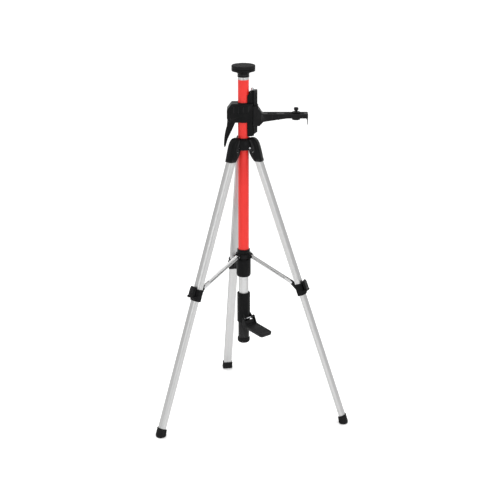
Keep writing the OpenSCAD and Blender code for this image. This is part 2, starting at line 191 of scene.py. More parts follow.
def inset(points, d):
    """Outline moved inward by d."""
    out = []
    for k, p in enumerate(points):
        a, p, b = Vector(points[k - 1]), Vector(p), Vector(points[(k + 1) % len(points)])
        e1, e2 = (p - a).normalized(), (b - p).normalized()
        n1, n2 = Vector((-e1.y, e1.x)), Vector((-e2.y, e2.x))
        shift = (n1 + n2) / max(1 + n1.dot(n2), 0.3)
        out.append(tuple(p + shift * d))
    return out


def leg_outline(shrink):
    """The legs' D section, with rounded corners, shrunk on every side."""
    half, r = LEG_HALF - shrink, LEG_ARC_R - shrink
    reach = math.degrees(math.asin(half / r))
    back = LEG_FLAT_X + shrink
    corner, middle, eased = 1.6, -0.9, 3
    front = LEG_ARC_X + r * math.cos(math.radians(reach)) - 0.8
    return counter_clockwise(
        arc(LEG_ARC_X, 0, r, eased - reach, reach - eased, 24)
        + [(front, half), (middle, half)]
        + arc(back + corner, half - corner, corner, 90, 180, 5)
        + arc(back + corner, corner - half, corner, 180, 270, 5)
        + [(middle, -half), (front, -half)])


# ---- Solids, added to a mesh in millimetres ----

PLANES = {"XZ": lambda u, v, w: (u, w, v), "XY": lambda u, v, w: (u, v, w), "YZ": lambda u, v, w: (w, u, v)}


def neighbours(rows, closed):
    """Each row with the next one, and the last with the first if closed."""
    return list(zip(rows, rows[1:])) + ([(rows[-1], rows[0])] if closed else [])


def add_rings(bm, rings, closed=False):
    """Skin through rings of the same number of points. Open ends are capped."""
    rows = [[bm.verts.new(p) for p in ring] for ring in rings]
    for a, b in neighbours(rows, closed):
        for k in range(len(a)):
            m = (k + 1) % len(a)
            bm.faces.new((a[k], a[m], b[m], b[k]))
    if not closed:
        bm.faces.new(list(reversed(rows[0])))
        bm.faces.new(rows[-1])


def turns_back(outline, shape):
    """Whether a side of the inset shape runs the other way from the same side of the outline."""
    for k in range(len(outline)):
        side = Vector(outline[k]) - Vector(outline[k - 1])
        if side.dot(Vector(shape[k]) - Vector(shape[k - 1])) < -1e-9:
            return True
    return False


def add_prism(bm, outline, start, end, edge=0.6, plane="XZ", steps=3):
    """Outline pushed through from start to end, with its edges rounded over as far as its corners allow."""
    outline = counter_clockwise(outline)
    while turns_back(outline, inset(outline, edge)):
        edge *= 0.85
    place = PLANES[plane]
    turns = [math.pi / 2 * k / steps for k in range(steps + 1)]
    shapes = [(inset(outline, edge * (1 - math.sin(a))), edge * (1 - math.cos(a))) for a in turns]
    near = [[place(u, v, start + rise) for u, v in shape] for shape, rise in shapes]
    far = [[place(u, v, end - rise) for u, v in shape] for shape, rise in reversed(shapes)]
    add_rings(bm, near + far)


def add_lathe(bm, profile, segments=72, closed=True, swell=None, at=(0, 0, 0), axis="Z"):
    """Profile of (radius, height) turned about an axis. swell(turn, r, z) changes the radius."""
    rows = []
    for r, z in profile:
        if r < 1e-6:
            points = [(0, 0, z)]
        else:
            points = []
            for k in range(segments):
                a = 2 * math.pi * k / segments
                q = swell(a, r, z) if swell else r
                points.append((q * math.cos(a), q * math.sin(a), z))
        if axis == "Y":
            points = [(x, z1, -y) for x, y, z1 in points]
        if axis == "X":
            points = [(z1, x, y) for x, y, z1 in points]
        rows.append([bm.verts.new(Vector(p) + Vector(at)) for p in points])
    for a, b in neighbours(rows, closed):
        for k in range(segments):
            m = (k + 1) % segments
            if len(a) == 1:
                bm.faces.new((a[0], b[m], b[k]))
            elif len(b) == 1:
                bm.faces.new((a[k], a[m], b[0]))
            else:
                bm.faces.new((a[k], a[m], b[m], b[k]))


def hoop(r_out, r_in, z0, z1, edge=0.5, steps=3):
    """Profile of a ring with rounded outer rims."""
    edge = min(edge, (z1 - z0) / 2.2)
    return ([(r_in, z0)] + arc(r_out - edge, z0 + edge, edge, -90, 0, steps)
            + arc(r_out - edge, z1 - edge, edge, 0, 90, steps) + [(r_in, z1)])


def disc(r, z0, z1, edge=0.5, steps=3):
    """Profile of a solid disc with rounded rims."""
    return hoop(r, 0, z0, z1, edge, steps)


def level(outline, z):
    """The outline as a ring at one height."""
    return [(x, y, z) for x, y in outline]


def sides(near, far):
    """The span of Y from near to far, on the positive side and on the negative side."""
    return [sorted((way * near, way * far)) for way in (1, -1)]


def add_pair(bm, outline, near, far, edge=0.6, steps=3):
    """The same plate on both sides of the XZ plane, from near to far."""
    for start, end in sides(near, far):
        add_prism(bm, outline, start, end, edge, steps=steps)


def add_bosses(bm, r, near, far, edge, at, steps=3):
    """A disc on both sides of the XZ plane, at (x, z)."""
    for start, end in sides(near, far):
        add_lathe(bm, disc(r, start, end, edge, steps), 32, closed=False, at=(at[0], 0, at[1]), axis="Y")


# ---- Pieces ----

def mesh_object(name, bm, matrix=None):
    """Object with the mesh of bm, moved by the matrix and turned from millimetres into metres."""
    bmesh.ops.recalc_face_normals(bm, faces=bm.faces)
    mesh = bpy.data.meshes.new(name)
    bm.to_mesh(mesh)
    bm.free()
    mesh.transform(Matrix.Scale(MM, 4) @ (matrix or Matrix.Identity(4)))
    obj = bpy.data.objects.new(name, mesh)
    bpy.context.scene.collection.objects.link(obj)
    return obj


def keep_result(obj):
    """Gives obj the mesh that its modifiers make, and removes them."""
    depsgraph = bpy.context.evaluated_depsgraph_get()
    depsgraph.update()
    done = bpy.data.meshes.new_from_object(obj.evaluated_get(depsgraph))
    obj.modifiers.clear()
    obj.data = done


def carve(obj, cutters, operation="DIFFERENCE"):
    """Cuts the meshes of cutters out of obj, or adds them to it with UNION, and removes the cutters."""
    for cutter in cutters:
        mod = obj.modifiers.new("carve", "BOOLEAN")
        mod.operation = operation
        mod.solver = "MANIFOLD"
        mod.object = cutter
    keep_result(obj)
    for cutter in cutters:
        bpy.data.objects.remove(cutter)


def cutter_prism(outline, start, end, edge=0.01, plane="XZ", matrix=None, steps=1):
    bm = bmesh.new()
    add_prism(bm, outline, start, end, edge, plane, steps)
    return mesh_object("cutter", bm, matrix)


def cutter_box(lo, hi, matrix=None):
    return cutter_prism(box_outline(lo[0], hi[0], lo[1], hi[1]), lo[2], hi[2], 0.01, "XY", matrix)


def cutter_rod(r, z0, z1, matrix=None, axis="Z", at=(0, 0, 0), segments=72):
    bm = bmesh.new()
    add_lathe(bm, [(0, z0), (r, z0), (r, z1), (0, z1)], segments, closed=False, at=at, axis=axis)
    return mesh_object("cutter", bm, matrix)


def join(obj, others):
    """Adds the meshes of others to obj as more shells."""
    bm = bmesh.new()
    bm.from_mesh(obj.data)
    for other in others:
        bm.from_mesh(other.data)
        bpy.data.objects.remove(other)
    bm.to_mesh(obj.data)
    bm.free()


def shade(obj, angle=38):
    """Smooth faces, with the edges sharper than angle kept crisp."""
    bm = bmesh.new()
    bm.from_mesh(obj.data)
    limit = math.radians(angle)
    for face in bm.faces:
        face.smooth = True
    for edge in bm.edges:
        edge.smooth = len(edge.link_faces) == 2 and edge.calc_face_angle(0) < limit
    bm.to_mesh(obj.data)
    bm.free()


def finish_piece(obj, finish, body, replaces, bevel=0.0):
    """Gives a piece its material, edges and body. bevel, in millimetres, softens cut edges."""
    if bevel:
        mod = obj.modifiers.new("soft_edges", "BEVEL")
        mod.width = bevel * MM
        mod.segments = 2
        mod.limit_method = "ANGLE"
        mod.angle_limit = math.radians(48)
        mod.use_clamp_overlap = True
        keep_result(obj)
    shade(obj)
    normals = obj.modifiers.new("normals", "WEIGHTED_NORMAL")
    normals.keep_sharp = True
    normals.weight = 60
    obj.data.materials.clear()
    obj.data.materials.append(finish)
    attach(obj, body)
    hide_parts(*replaces)


def turned_piece(name, profile, segments, finish, body, node, closed=True, swell=None, at=(0, 0, 0)):
    """Piece made of one profile turned about an upright axis."""
    bm = bmesh.new()
    add_lathe(bm, profile, segments, closed=closed, swell=swell, at=at)
    finish_piece(mesh_object(name, bm), finish, body, [node])


# ---- Materials ----

class Finish:
    """A procedural material: a Principled shader and the nodes that feed it, in metres."""

    def __init__(self, name, **fixed):
        self.material = bpy.data.materials.new(name)
        self.material.use_nodes = True
        self.tree = self.material.node_tree
        self.shader = self.tree.nodes["Principled BSDF"]
        for socket, value in fixed.items():
            self.shader.inputs[socket.replace("_", " ")].default_value = value

    def node(self, kind, **settings):
        made = self.tree.nodes.new("ShaderNode" + kind)
        for key, value in settings.items():
            setattr(made, key, value)
        return made

    def link(self, source, target):
        self.tree.links.new(source, target)

    def place(self, stretch=(1, 1, 1), turn=(0, 0, 0)):
        """Object coordinates in a turned frame, each divided by its own length in metres."""
        coords = self.node("TexCoord")
        mapping = self.node("Mapping", vector_type="TEXTURE")
        mapping.inputs["Rotation"].default_value = turn
        mapping.inputs["Scale"].default_value = stretch
        self.link(coords.outputs["Object"], mapping.inputs["Vector"])
        return mapping.outputs["Vector"]

    def noise(self, where, scale=1.0, detail=3.0, roughness=0.55):
        made = self.node("TexNoise")
        made.inputs["Scale"].default_value = scale
        made.inputs["Detail"].default_value = detail
        made.inputs["Roughness"].default_value = roughness
        self.link(where, made.inputs["Vector"])
        return made.outputs["Fac"]

    def span(self, value, low_in, high_in, low_out, high_out):
        """Value from low_in to high_in mapped to low_out to high_out."""
        made = self.node("MapRange")
        sockets = ("From Min", "From Max", "To Min", "To Max")
        for socket, v in zip(sockets, (low_in, high_in, low_out, high_out)):
            made.inputs[socket].default_value = v
        self.link(value, made.inputs["Value"])
        return made.outputs["Result"]

    def math(self, operation, a, b):
        made = self.node("Math", operation=operation)
        for socket, v in zip(made.inputs, (a, b)):
            if isinstance(v, (int, float)):
                socket.default_value = v
            else:
                self.link(v, socket)
        return made.outputs[0]

    def blend(self, amount, first, second):
        made = self.node("Mix", data_type="RGBA")
        self.link(amount, made.inputs["Factor"])
        for socket, v in ((made.inputs[6], first), (made.inputs[7], second)):
            if isinstance(v, tuple):
                socket.default_value = (*v, 1)
            else:
                self.link(v, socket)
        return made.outputs[2]

    def colour(self, source):
        self.link(source, self.shader.inputs["Base Color"])

    def roughness(self, source):
        self.link(source, self.shader.inputs["Roughness"])

    def relief(self, *layers):
        """Bump layers of (height, depth in metres), finest last."""
        normal = None
        for height, depth in layers:
            made = self.node("Bump")
            made.inputs["Strength"].default_value = 1.0
            made.inputs["Distance"].default_value = depth
            self.link(height, made.inputs["Height"])
            if normal:
                self.link(normal, made.inputs["Normal"])
            normal = made.outputs["Normal"]
        self.link(normal, self.shader.inputs["Normal"])

    def edge_wear(self):
        """0 on flat faces, 1 on outer edges."""
        geometry = self.node("NewGeometry")
        return self.span(geometry.outputs["Pointiness"], 0.53, 0.62, 0, 1)


def moulded_plastic(name, shade_low, shade_high, rough, grain=0.00035):
    """Black glass-filled plastic: spark-eroded texture, faint flow marks and paler rubbed edges."""
    f = Finish(name, Metallic=0.0, Specular_IOR_Level=0.08)
    flow = f.noise(f.place((0.02, 0.02, 0.035)), 1, 4)
    texture = f.noise(f.place((grain, grain, grain)), 1, 2)
    scuffs = f.noise(f.place((0.0016, 0.0016, 0.006)), 1, 6, 0.7)
    base = f.blend(f.span(flow, 0.35, 0.65, 0, 1), shade_low, shade_high)
    worn = f.math("MULTIPLY", f.edge_wear(), f.span(scuffs, 0.42, 0.62, 0.1, 0.55))
    f.colour(f.blend(worn, base, tuple(min(1, 3.2 * v + 0.03) for v in shade_high)))
    f.roughness(f.math("ADD", f.span(flow, 0.3, 0.7, rough - 0.05, rough + 0.05),
                       f.span(scuffs, 0.4, 0.7, -0.04, 0.07)))
    f.relief((flow, 0.00006), (texture, 0.00003))
    return f.material


def rubber():
    f = Finish("rubber", Metallic=0.0, Specular_IOR_Level=0.12)
    dust = f.noise(f.place((0.008, 0.008, 0.004)), 1, 5, 0.65)
    pores = f.noise(f.place((0.0006, 0.0006, 0.0006)), 1, 3)
    f.colour(f.blend(f.span(dust, 0.45, 0.75, 0, 0.5), (0.006, 0.006, 0.0065), (0.026, 0.025, 0.024)))
    f.roughness(f.span(dust, 0.3, 0.7, 0.62, 0.8))
    f.relief((pores, 0.00005))
    return f.material


def red_paint():
    """Red coating on the pole: slight orange peel, a soft clear sheen and thin rub marks along the tube."""
    f = Finish("red_coating", Metallic=0.0, Specular_IOR_Level=0.3, Coat_Weight=0.1, Coat_Roughness=0.25)
    cloud = f.noise(f.place((0.05, 0.05, 0.11)), 1, 4)
    rubs = f.noise(f.place((0.0007, 0.0007, 0.05)), 1, 5, 0.7)
    peel = f.noise(f.place((0.0014, 0.0014, 0.0014)), 1, 2)
    base = f.blend(f.span(cloud, 0.35, 0.65, 0, 1), (0.64, 0.018, 0.013), (0.74, 0.024, 0.017))
    f.colour(f.blend(f.span(rubs, 0.66, 0.80, 0, 0.35), base, (0.58, 0.014, 0.010)))
    f.roughness(f.span(rubs, 0.3, 0.75, 0.34, 0.52))
    f.relief((peel, 0.00004), (rubs, 0.000012))
    return f.material


def anodised(name, turn=(0, 0, 0), tone=0.55, rough=0.34):
    """Satin aluminium with drawing lines along the tube, handling marks and faint cloudiness."""
    f = Finish(name, Metallic=1.0, Specular_Tint=(0.3, 0.3, 0.3, 1))
    lines = f.noise(f.place((0.0003, 0.0003, 0.25), turn), 1, 3, 0.6)
    bands = f.noise(f.place((0.003, 0.003, 0.6), turn), 1, 2)
    marks = f.noise(f.place((0.004, 0.004, 0.018), turn), 1, 6, 0.7)
    base = f.blend(f.span(bands, 0.35, 0.65, 0, 1), (tone * 0.93,) * 3, (tone, tone, tone * 0.995))
    f.colour(f.blend(f.span(marks, 0.60, 0.80, 0, 0.35), base, (tone * 0.72, tone * 0.71, tone * 0.70)))
    f.roughness(f.math("ADD", f.span(lines, 0.3, 0.7, rough - 0.05, rough + 0.06),
                       f.span(marks, 0.45, 0.75, 0, 0.09)))
    f.relief((bands, 0.00002), (lines, 0.00001))
    return f.material


def plated_steel():
    f = Finish("plated_steel", Metallic=1.0)
    mottle = f.noise(f.place((0.002, 0.002, 0.002)), 1, 5, 0.65)
    turned = f.noise(f.place((0.0015, 0.0015, 0.0001)), 1, 2)
    f.colour(f.blend(f.span(mottle, 0.35, 0.7, 0, 1), (0.64, 0.65, 0.67), (0.48, 0.48, 0.49)))
    f.roughness(f.span(mottle, 0.3, 0.7, 0.24, 0.42))
    f.relief((turned, 0.00001))
    return f.material


def brass():
    f = Finish("machined_brass", Metallic=1.0)
    mottle = f.noise(f.place((0.003, 0.003, 0.001)), 1, 5, 0.6)
    f.colour(f.blend(f.span(mottle, 0.35, 0.7, 0, 1), (0.75, 0.55, 0.24), (0.58, 0.40, 0.17)))
    f.roughness(f.span(mottle, 0.3, 0.7, 0.25, 0.42))
    f.relief((mottle, 0.00002))
    return f.material


def nylon():
    f = Finish("natural_nylon", Metallic=0.0, Subsurface_Weight=0.1, Subsurface_Scale=0.002)
    cloud = f.noise(f.place((0.006, 0.006, 0.006)), 1, 4)
    f.colour(f.blend(f.span(cloud, 0.35, 0.7, 0, 1), (0.84, 0.83, 0.77), (0.74, 0.72, 0.65)))
    f.roughness(f.span(cloud, 0.3, 0.7, 0.42, 0.58))
    f.relief((cloud, 0.00004))
    return f.material


def studio_floor():
    f = Finish("studio_floor", Metallic=0.0, Specular_IOR_Level=0.2)
    grain = f.noise(f.place((0.3, 0.3, 0.3)), 1, 3)
    f.colour(f.blend(grain, (0.90, 0.90, 0.90), (0.92, 0.92, 0.92)))
    f.roughness(f.span(grain, 0.3, 0.7, 0.7, 0.8))
    f.shader.inputs["Emission Color"].default_value = (1, 1, 1, 1)
    f.shader.inputs["Emission Strength"].default_value = 0.2
    return f.material


BLACK = moulded_plastic("black_plastic", (0.0028, 0.0030, 0.0033), (0.0052, 0.0052, 0.0055), 0.42)
CASTING = moulded_plastic("black_casting", (0.0062, 0.0062, 0.0066), (0.0100, 0.0100, 0.0104), 0.46, 0.0005)
SATIN = moulded_plastic("black_satin_metal", (0.005, 0.005, 0.0052), (0.008, 0.008, 0.0084), 0.34, 0.0003)
RUBBER = rubber()
RED = red_paint()
POLE_METAL = anodised("pole_aluminium")
LEG_METAL = {i: anodised(f"leg_aluminium_{i}", leg_frame(i).to_3x3().to_euler()) for i in LEGS}
Z_TO_X = Matrix.Rotation(math.pi / 2, 3, "Y")
STRUT_TURN = {i: (strut_frame(i)[0].to_3x3() @ Z_TO_X).to_euler() for i in LEGS}
STRUT_METAL = {i: anodised(f"strut_aluminium_{i}", STRUT_TURN[i], 0.52, 0.38) for i in LEGS}
STEEL = plated_steel()
BRASS = brass()
NYLON = nylon()


# ---- CAD nodes that keep their own shape ----

KEPT = {
    "spring_seat": STEEL, "head_screws": SATIN, "leg_pins": STEEL,
    "pole_collet": NYLON, "pad_stem": STEEL, "hub_pins": STEEL, "inner_bush": NYLON,
    "pedal_pin": STEEL, "clamp_liner": BLACK, "rail_screws": SATIN, "lever_pin": SATIN, "drive_nut": BRASS,
}
for i in LEGS:
    KEPT[f"leg_bush_{i}"] = NYLON
for node, finish in KEPT.items():
    obj = nodes[node]
    obj.data.materials.clear()
    obj.data.materials.append(finish)
    weld = obj.modifiers.new("weld", "WELD")
    weld.merge_threshold = 0.005 * MM


# ---- Ceiling pad ----

def ceiling_pad():
    top, rim, seat = high("pad_rubber").z, high("pad_rubber").x + RIM_GROW, low("pad_rubber").z
    face, groove_floor, mouth, floor_half = top - 0.2, top - 0.8, 0.9, 0.5
    shoulder = 1.7
    grooves = []
    for r in (rim * 0.36, rim * 0.62, rim * 0.84):
        grooves += [(r - mouth, face), (r - floor_half, groove_floor),
                    (r + floor_half, groove_floor), (r + mouth, face)]
    profile = ([(0, seat), (rim - 0.8, seat), (rim - 0.1, seat + 0.7), (rim, seat + 1.6), (rim, top - 3.4)]
               + arc(rim - shoulder, top - 1.9, shoulder, 8, 84, 6) + [(rim - 2.4, face)]
               + list(reversed(grooves)) + [(0, face)])
    turned_piece("ceiling_pad_rubber", profile, 96, RUBBER, "ceiling_pad", "pad_rubber",
                 closed=False)

    step = low("pad_cup").z
    bottom, under, flare = step + NECK_LIFT, step + 12, 4.75
    hollow = POLE_R + 0.4
    neck = hollow + 0.85
    waist = neck - 0.35
    bore, ledge = 5.0, step + 17
    profile = ([(hollow, bottom), (neck - 0.3, bottom), (neck, bottom + 0.5), (neck, bottom + 2.6),
                (waist, bottom + 3.0), (waist, under - 1.5)]
               + arc(waist + flare, under - 1.5, flare, 180, 112, 7)
               + [(20.4, step + 15.4), (21.2, step + 16.0), (21.2, step + 18.2), (22.0, step + 18.8)]
               + [(rim - 2.2, step + 19.2)] + arc(rim - 1.0, step + 20.2, 1.0, -80, 0, 4)
               + [(rim, seat - 1.0), (rim - 0.6, seat - 0.6), (rim - 1.6, seat - 0.4), (rim - 1.8, seat),
                  (bore, seat), (bore, ledge), (hollow, ledge)])
    turned_piece("ceiling_pad_cup", profile, 96, BLACK, "ceiling_pad", "pad_cup")


def pad_spring():
    """Compression spring between the pole's seat and the pad's stem, built as a fixed coil."""
    wire, mean, turns, per_turn, sections = 0.8, 9.0, 8, 24, 10
    first, last = low("pad_spring").z + wire, high("pad_spring").z - wire
    rings = []
    for k in range(turns * per_turn + 1):
        a = 2 * math.pi * k / per_turn
        z = first + (last - first) * k / (turns * per_turn)
        ring = []
        for m in range(sections):
            b = 2 * math.pi * m / sections
            r = mean + wire * math.cos(b)
            ring.append((r * math.cos(a), r * math.sin(a), z + wire * math.sin(b)))
        rings.append(ring)
    bm = bmesh.new()
    add_rings(bm, rings)
    spring = mesh_object("ceiling_pad_spring", bm)
    shade(spring)
    spring.data.materials.append(STEEL)
    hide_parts("pad_spring")
    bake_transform(spring)


# ---- Pole, twist lock, spreader hub ----

def pole_end(pole_top, neck_low):
    """Machined aluminium end of the pole below the pad's neck, with a key slot in front."""
    outer, inner, base = POLE_R - 0.25, 5.05, low("pole_top_plug").z
    plug_r, groove_r, top, key_half, key_depth = POLE_R - 1.35, outer - 0.5, neck_low + 0.6, 0.9, 2.6
    bm = bmesh.new()
    add_lathe(bm, [(inner, base), (plug_r, base), (plug_r, pole_top), (outer, pole_top),
                   (outer, pole_top + 2.2), (groove_r, pole_top + 2.5), (groove_r, pole_top + 3.1),
                   (outer, pole_top + 3.4), (outer, top), (inner, top)], 96)
    end = mesh_object("pole_end_ring", bm)
    key = cutter_box((-key_half, -outer - 1, pole_top + 1), (key_half, key_depth - outer, neck_low + 1))
    carve(end, [key])
    finish_piece(end, POLE_METAL, "pole", ["pole_top_plug"])


def pole():
    bottom, top = low("pole_tube").z, high("pole_tube").z + POLE_LIFT
    pole_end(top, low("pad_cup").z + NECK_LIFT)
    inner, chamfer = POLE_R - 1.3, 0.3
    profile = [(inner, bottom), (POLE_R - chamfer, bottom), (POLE_R, bottom + chamfer), (POLE_R, top - 0.4),
               (POLE_R - 0.25, top - 0.1), (POLE_R - 0.45, top), (inner, top)]
    turned_piece("red_pole_tube", profile, 96, RED, "pole", "pole_tube")


def twist_lock():
    bottom, top = low("twist_lock").z + LOCK_LIFT, high("twist_lock").z
    tube_end = low("pole_tube").z + 0.3
    r, teeth, flute_depth = LOCK_R, 28, 0.55
    fluted_low, fluted_high = bottom + 7.0, top - 5.0
    wide, slim, snug = POLE_R + 1.6, INNER_R + 0.2, POLE_R + 0.05
    floor, lip = bottom + 5, r - 0.6

    def flute(turn, radius, z):
        if radius < r - 1.5 or z < fluted_low or z > fluted_high:
            return radius
        return radius - flute_depth * (0.5 + 0.5 * math.cos(teeth * turn)) ** 2

    heights = [fluted_low, bottom + 7.8, bottom + 20, top - 20, top - 5.8, fluted_high]
    profile = ([(slim, bottom), (r - 3.4, bottom)] + arc(r - 3.4, bottom + 1.4, 1.4, -80, -50, 3)
               + [(r - 0.7, bottom + 4.0), (r - 0.1, bottom + 5.0), (r, bottom + 5.8)]
               + [(r, z) for z in heights]
               + [(r, top - 4.0), (lip, top - 3.6), (lip, top - 2.6), (r, top - 2.2), (r, top - 1.0)]
               + arc(r - 0.9, top - 0.9, 0.9, 0, 90, 3)
               + [(snug, top), (snug, tube_end), (wide, tube_end), (wide, floor), (slim, floor)])
    turned_piece("twist_lock_sleeve", profile, 168, BLACK, "twist_lock", "twist_lock",
                 swell=flute)


def spreader_hub():
    bottom, top = low("hub").z, high("hub").z
    r, pin_r, pin_z, ring_r = 18.0, 22.5, 467.0, 21.5
    snug, groove_r, cheek_r, cheek_y, cheek_thick = POLE_R + 0.05, r - 0.5, 4.8, 5.3, 3.2
    cheek_x, cheek_top = POLE_R + 1.2, pin_z + 8.2
    bm = bmesh.new()
    add_lathe(bm, [(snug, bottom), (r - 0.5, bottom), (r, bottom + 0.5), (r, top - 4.4),
                   (groove_r, top - 4.0), (groove_r, top - 3.2), (r, top - 2.8)]
              + arc(r - 1.2, top - 1.2, 1.2, 0, 90, 4) + [(POLE_R + 0.9, top), (snug, top - 0.8)], 96)
    add_lathe(bm, hoop(ring_r, r - 1, pin_z + 5.2, pin_z + 8.4, 1.0, 4), 96)
    body = mesh_object("spreader_hub", bm)
    cheek = (arc(pin_r, pin_z, cheek_r, -90, 50, 10)
             + [(20.8, cheek_top), (cheek_x, cheek_top), (cheek_x, pin_z - cheek_r)])
    button_z = pin_z + 12.0
    for i in LEGS:
        bm = bmesh.new()
        add_pair(bm, cheek, cheek_y, cheek_y + cheek_thick, 0.7)
        cheeks = mesh_object("part", bm, radial_frame(i))
        bm = bmesh.new()
        add_lathe(bm, disc(2.3, r - 1.0, r + 0.9, 0.5), 24, closed=False, at=(0, 0, button_z), axis="X")
        join(body, [cheeks, mesh_object("part", bm, radial_frame(i) @ SIXTH_TURN)])
    finish_piece(body, BLACK, "hub", ["hub"])


def strut(i):
    matrix, length = strut_frame(i)
    half, thick, ear, skirt, corner = 5.0, 1.2, 4.0, -0.9, 1.4
    web_end = length - 20
    web_start, mouth, floor_half, groove = 0.5, 2.3, 1.7, 0.5
    inside, ceiling = half - thick, ear - thick - groove
    bm = bmesh.new()
    plate = arc(0, 0, ear, 90, 270, 12) + arc(length, 0, ear, -90, 90, 12)
    add_pair(bm, plate, half - thick, half, 0.3, 2)
    section = ([(-half, skirt)] + arc(-half + corner, ear - corner, corner, 180, 90, 5)
               + [(-mouth, ear), (-floor_half, ear - groove), (floor_half, ear - groove), (mouth, ear)]
               + arc(half - corner, ear - corner, corner, 90, 0, 5)
               + [(half, skirt), (inside, skirt), (inside, ceiling), (-inside, ceiling), (-inside, skirt)])
    add_prism(bm, section, web_start, web_end, 0.25, "YZ", 2)
    obj = mesh_object(f"spreader_strut_{i}", bm, matrix)
    finish_piece(obj, STRUT_METAL[i], f"strut_{i}", [f"strut_{i}"])

    shank_start, shank_r, head_r, head_thick = 2.3, 2.0, 3.2, 1.0
    bm = bmesh.new()
    add_bosses(bm, shank_r, shank_start, half, 0.2, (length, 0), 2)
    add_bosses(bm, head_r, half - 0.05, half + head_thick, 0.45, (length, 0), 4)
    rivet = mesh_object(f"collar_rivet_{i}", bm, matrix)
    finish_piece(rivet, STEEL, f"strut_{i}", [f"strut_rivet_{i}"])


# ---- Tripod head ----

def tripod_head():
    bottom, top = low("head_body").z, high("head_body").z
    dome_r, dome_x, dome_height = 29.0, 17.5, 19
    slot_start, slot_half, bore_r, screw_r = 16.2, 12.5, 2.5, 4.0
    dome = [(dome_x + (dome_r - dome_x) * math.cos(math.radians(a)),
             top - 20.4 + dome_height * math.sin(math.radians(a))) for a in range(0, 81, 5)]
    bm = bmesh.new()
    skirt = [(POLE_R, bottom), (dome_r - 2.2, bottom), (dome_r - 0.7, bottom + 0.7), (dome_r, bottom + 2.2)]
    add_lathe(bm, skirt + dome + [(18.3, top - 1.4), (18.0, top - 0.5)] + arc(17.2, top - 0.7, 0.7, 20, 90, 3)
              + [(15.6, top), (15.0, top - 0.5), (POLE_R, top - 0.7)], 120)
    head = mesh_object("tripod_head", bm)
    bm = bmesh.new()
    add_lathe(bm, disc(3.3, 15.0, 16.9, 0.5), 32, closed=False, at=(PIVOT_R, 0, PIVOT_Z), axis="Y")
    pin_cap = mesh_object("part", bm, radial_frame(2))
    cutters = []
    for i in LEGS:
        cutters.append(cutter_box((slot_start, -slot_half, bottom - 2), (40, slot_half, top + 2),
                                  radial_frame(i)))
    for i in LEGS:
        cutters.append(cutter_rod(bore_r, -40, 40, radial_frame(i), "Y", (PIVOT_R, 0, PIVOT_Z), 40))
    for turn in (SIXTH_TURN, SIXTH_TURN.inverted()):
        cutters.append(cutter_rod(screw_r, 26.6, 34, radial_frame(1) @ turn, "X", (0, 0, PIVOT_Z), 40))
    carve(head, cutters)
    join(head, [pin_cap])
    finish_piece(head, BLACK, "pole", ["head_body"], 0.55)


# ---- Legs ----

def hood(i):
    """Hooded cap over the top of a leg, with the tongue that turns on the head's pin."""
    wall, foot, crown_r, crown_x, crown_w, bulge = 3.0, -52.0, 23.0, -4.0, 3.5, 3.6
    half, outer_r, steps = LEG_HALF + wall, LEG_ARC_R + wall, 44
    inner_squareness, outer_squareness, side_squareness = 0.42, 0.74, 0.62
    head_gap, thinnest = 16.9, 1.2
    sin_a, cos_a = math.sin(SPLAY), math.cos(SPLAY)
    levels = [foot, -44, -38, -32, -26, -20, -14, -8, -3, 1, 4, 7, 10, 13, 15.5, 18, 20, 21.8, 23.3, 24.6,
              25.6, 26.3]
    rings = []
    for w in levels:
        rise = max(0.0, w - crown_w) / crown_r
        bow = math.sqrt(max(0.0, 1 - rise ** 2))
        swell = bulge * math.sin(math.pi / 2 * min(1.0, max(0.0, (w + 42) / 40))) ** 1.3
        x_out = crown_x + (LEG_ARC_X + outer_r + swell - 0.8 - crown_x) * bow ** 0.9
        x_in = max(LEG_FLAT_X - wall, crown_x - crown_r * bow)
        x_in = max(x_in, (head_gap - PIVOT_R + w * sin_a) / cos_a - LEG_OFF)
        x_in = min(x_in, x_out - thinnest)
        width = (half - 0.2) * (1 - rise ** 3.2) ** 0.5 if rise > 0 else half
        width = max(width, 1.0)
        depth = x_out - x_in
        ring = []
        for k in range(steps):
            a = 2 * math.pi * k / steps
            c, s = math.cos(a), math.sin(a)
            u = math.copysign(abs(c) ** (inner_squareness if c < 0 else outer_squareness), c)
            v = math.copysign(abs(s) ** side_squareness, s)
            ring.append((x_in + depth * (u + 1) / 2, width * v, w))
        rings.append(ring)
    bm = bmesh.new()
    add_rings(bm, rings)
    matrix = leg_frame(i)
    obj = mesh_object(f"leg_hood_{i}", bm, matrix)
    pin_x, tongue_r, tongue_half, web_half = -LEG_OFF, 7.0, 12.0, 11.6
    tongue = bmesh.new()
    add_prism(tongue, arc(pin_x, 0, tongue_r, 90, 270, 16) + [(4, -7), (4, 9), (-6, 15)],
              -tongue_half, tongue_half, 1.0)
    web = bmesh.new()
    add_prism(web, fillet([(-6, 4), (-13.5, 2), (-16.6, -13), (-14.6, -26), (-9.6, -42), (-5, -42)],
                          [1, 2, 4, 8, 3, 1], 4), -web_half, web_half, 1.0)
    carve(obj, [mesh_object("tongue", tongue, matrix), mesh_object("web", web, matrix)], "UNION")
    bm = bmesh.new()
    add_rings(bm, [level(leg_outline(-UPPER_FULL), w) for w in (foot - 2, -12)])
    cuts = [mesh_object("cutter", bm, matrix)]
    for start, end in sides(tongue_half, 30.0):
        cuts.append(cutter_box((-40, start, -13), (-2.3, end, 50), matrix))
    cuts.append(cutter_box((-100, -100, HOOD_LOW - 60), (100, 100, HOOD_LOW)))
    cuts.append(cutter_rod(2.55, -30, 30, matrix, "Y", (pin_x, 0, 0), 40))
    cuts.append(cutter_box((0, -30, PIVOT_Z - 10), (16.7, 30, PIVOT_Z + 60), radial_frame(i)))
    carve(obj, cuts)
    finish_piece(obj, BLACK, f"leg_{i}", [f"leg_shell_{i}"], 1.0)


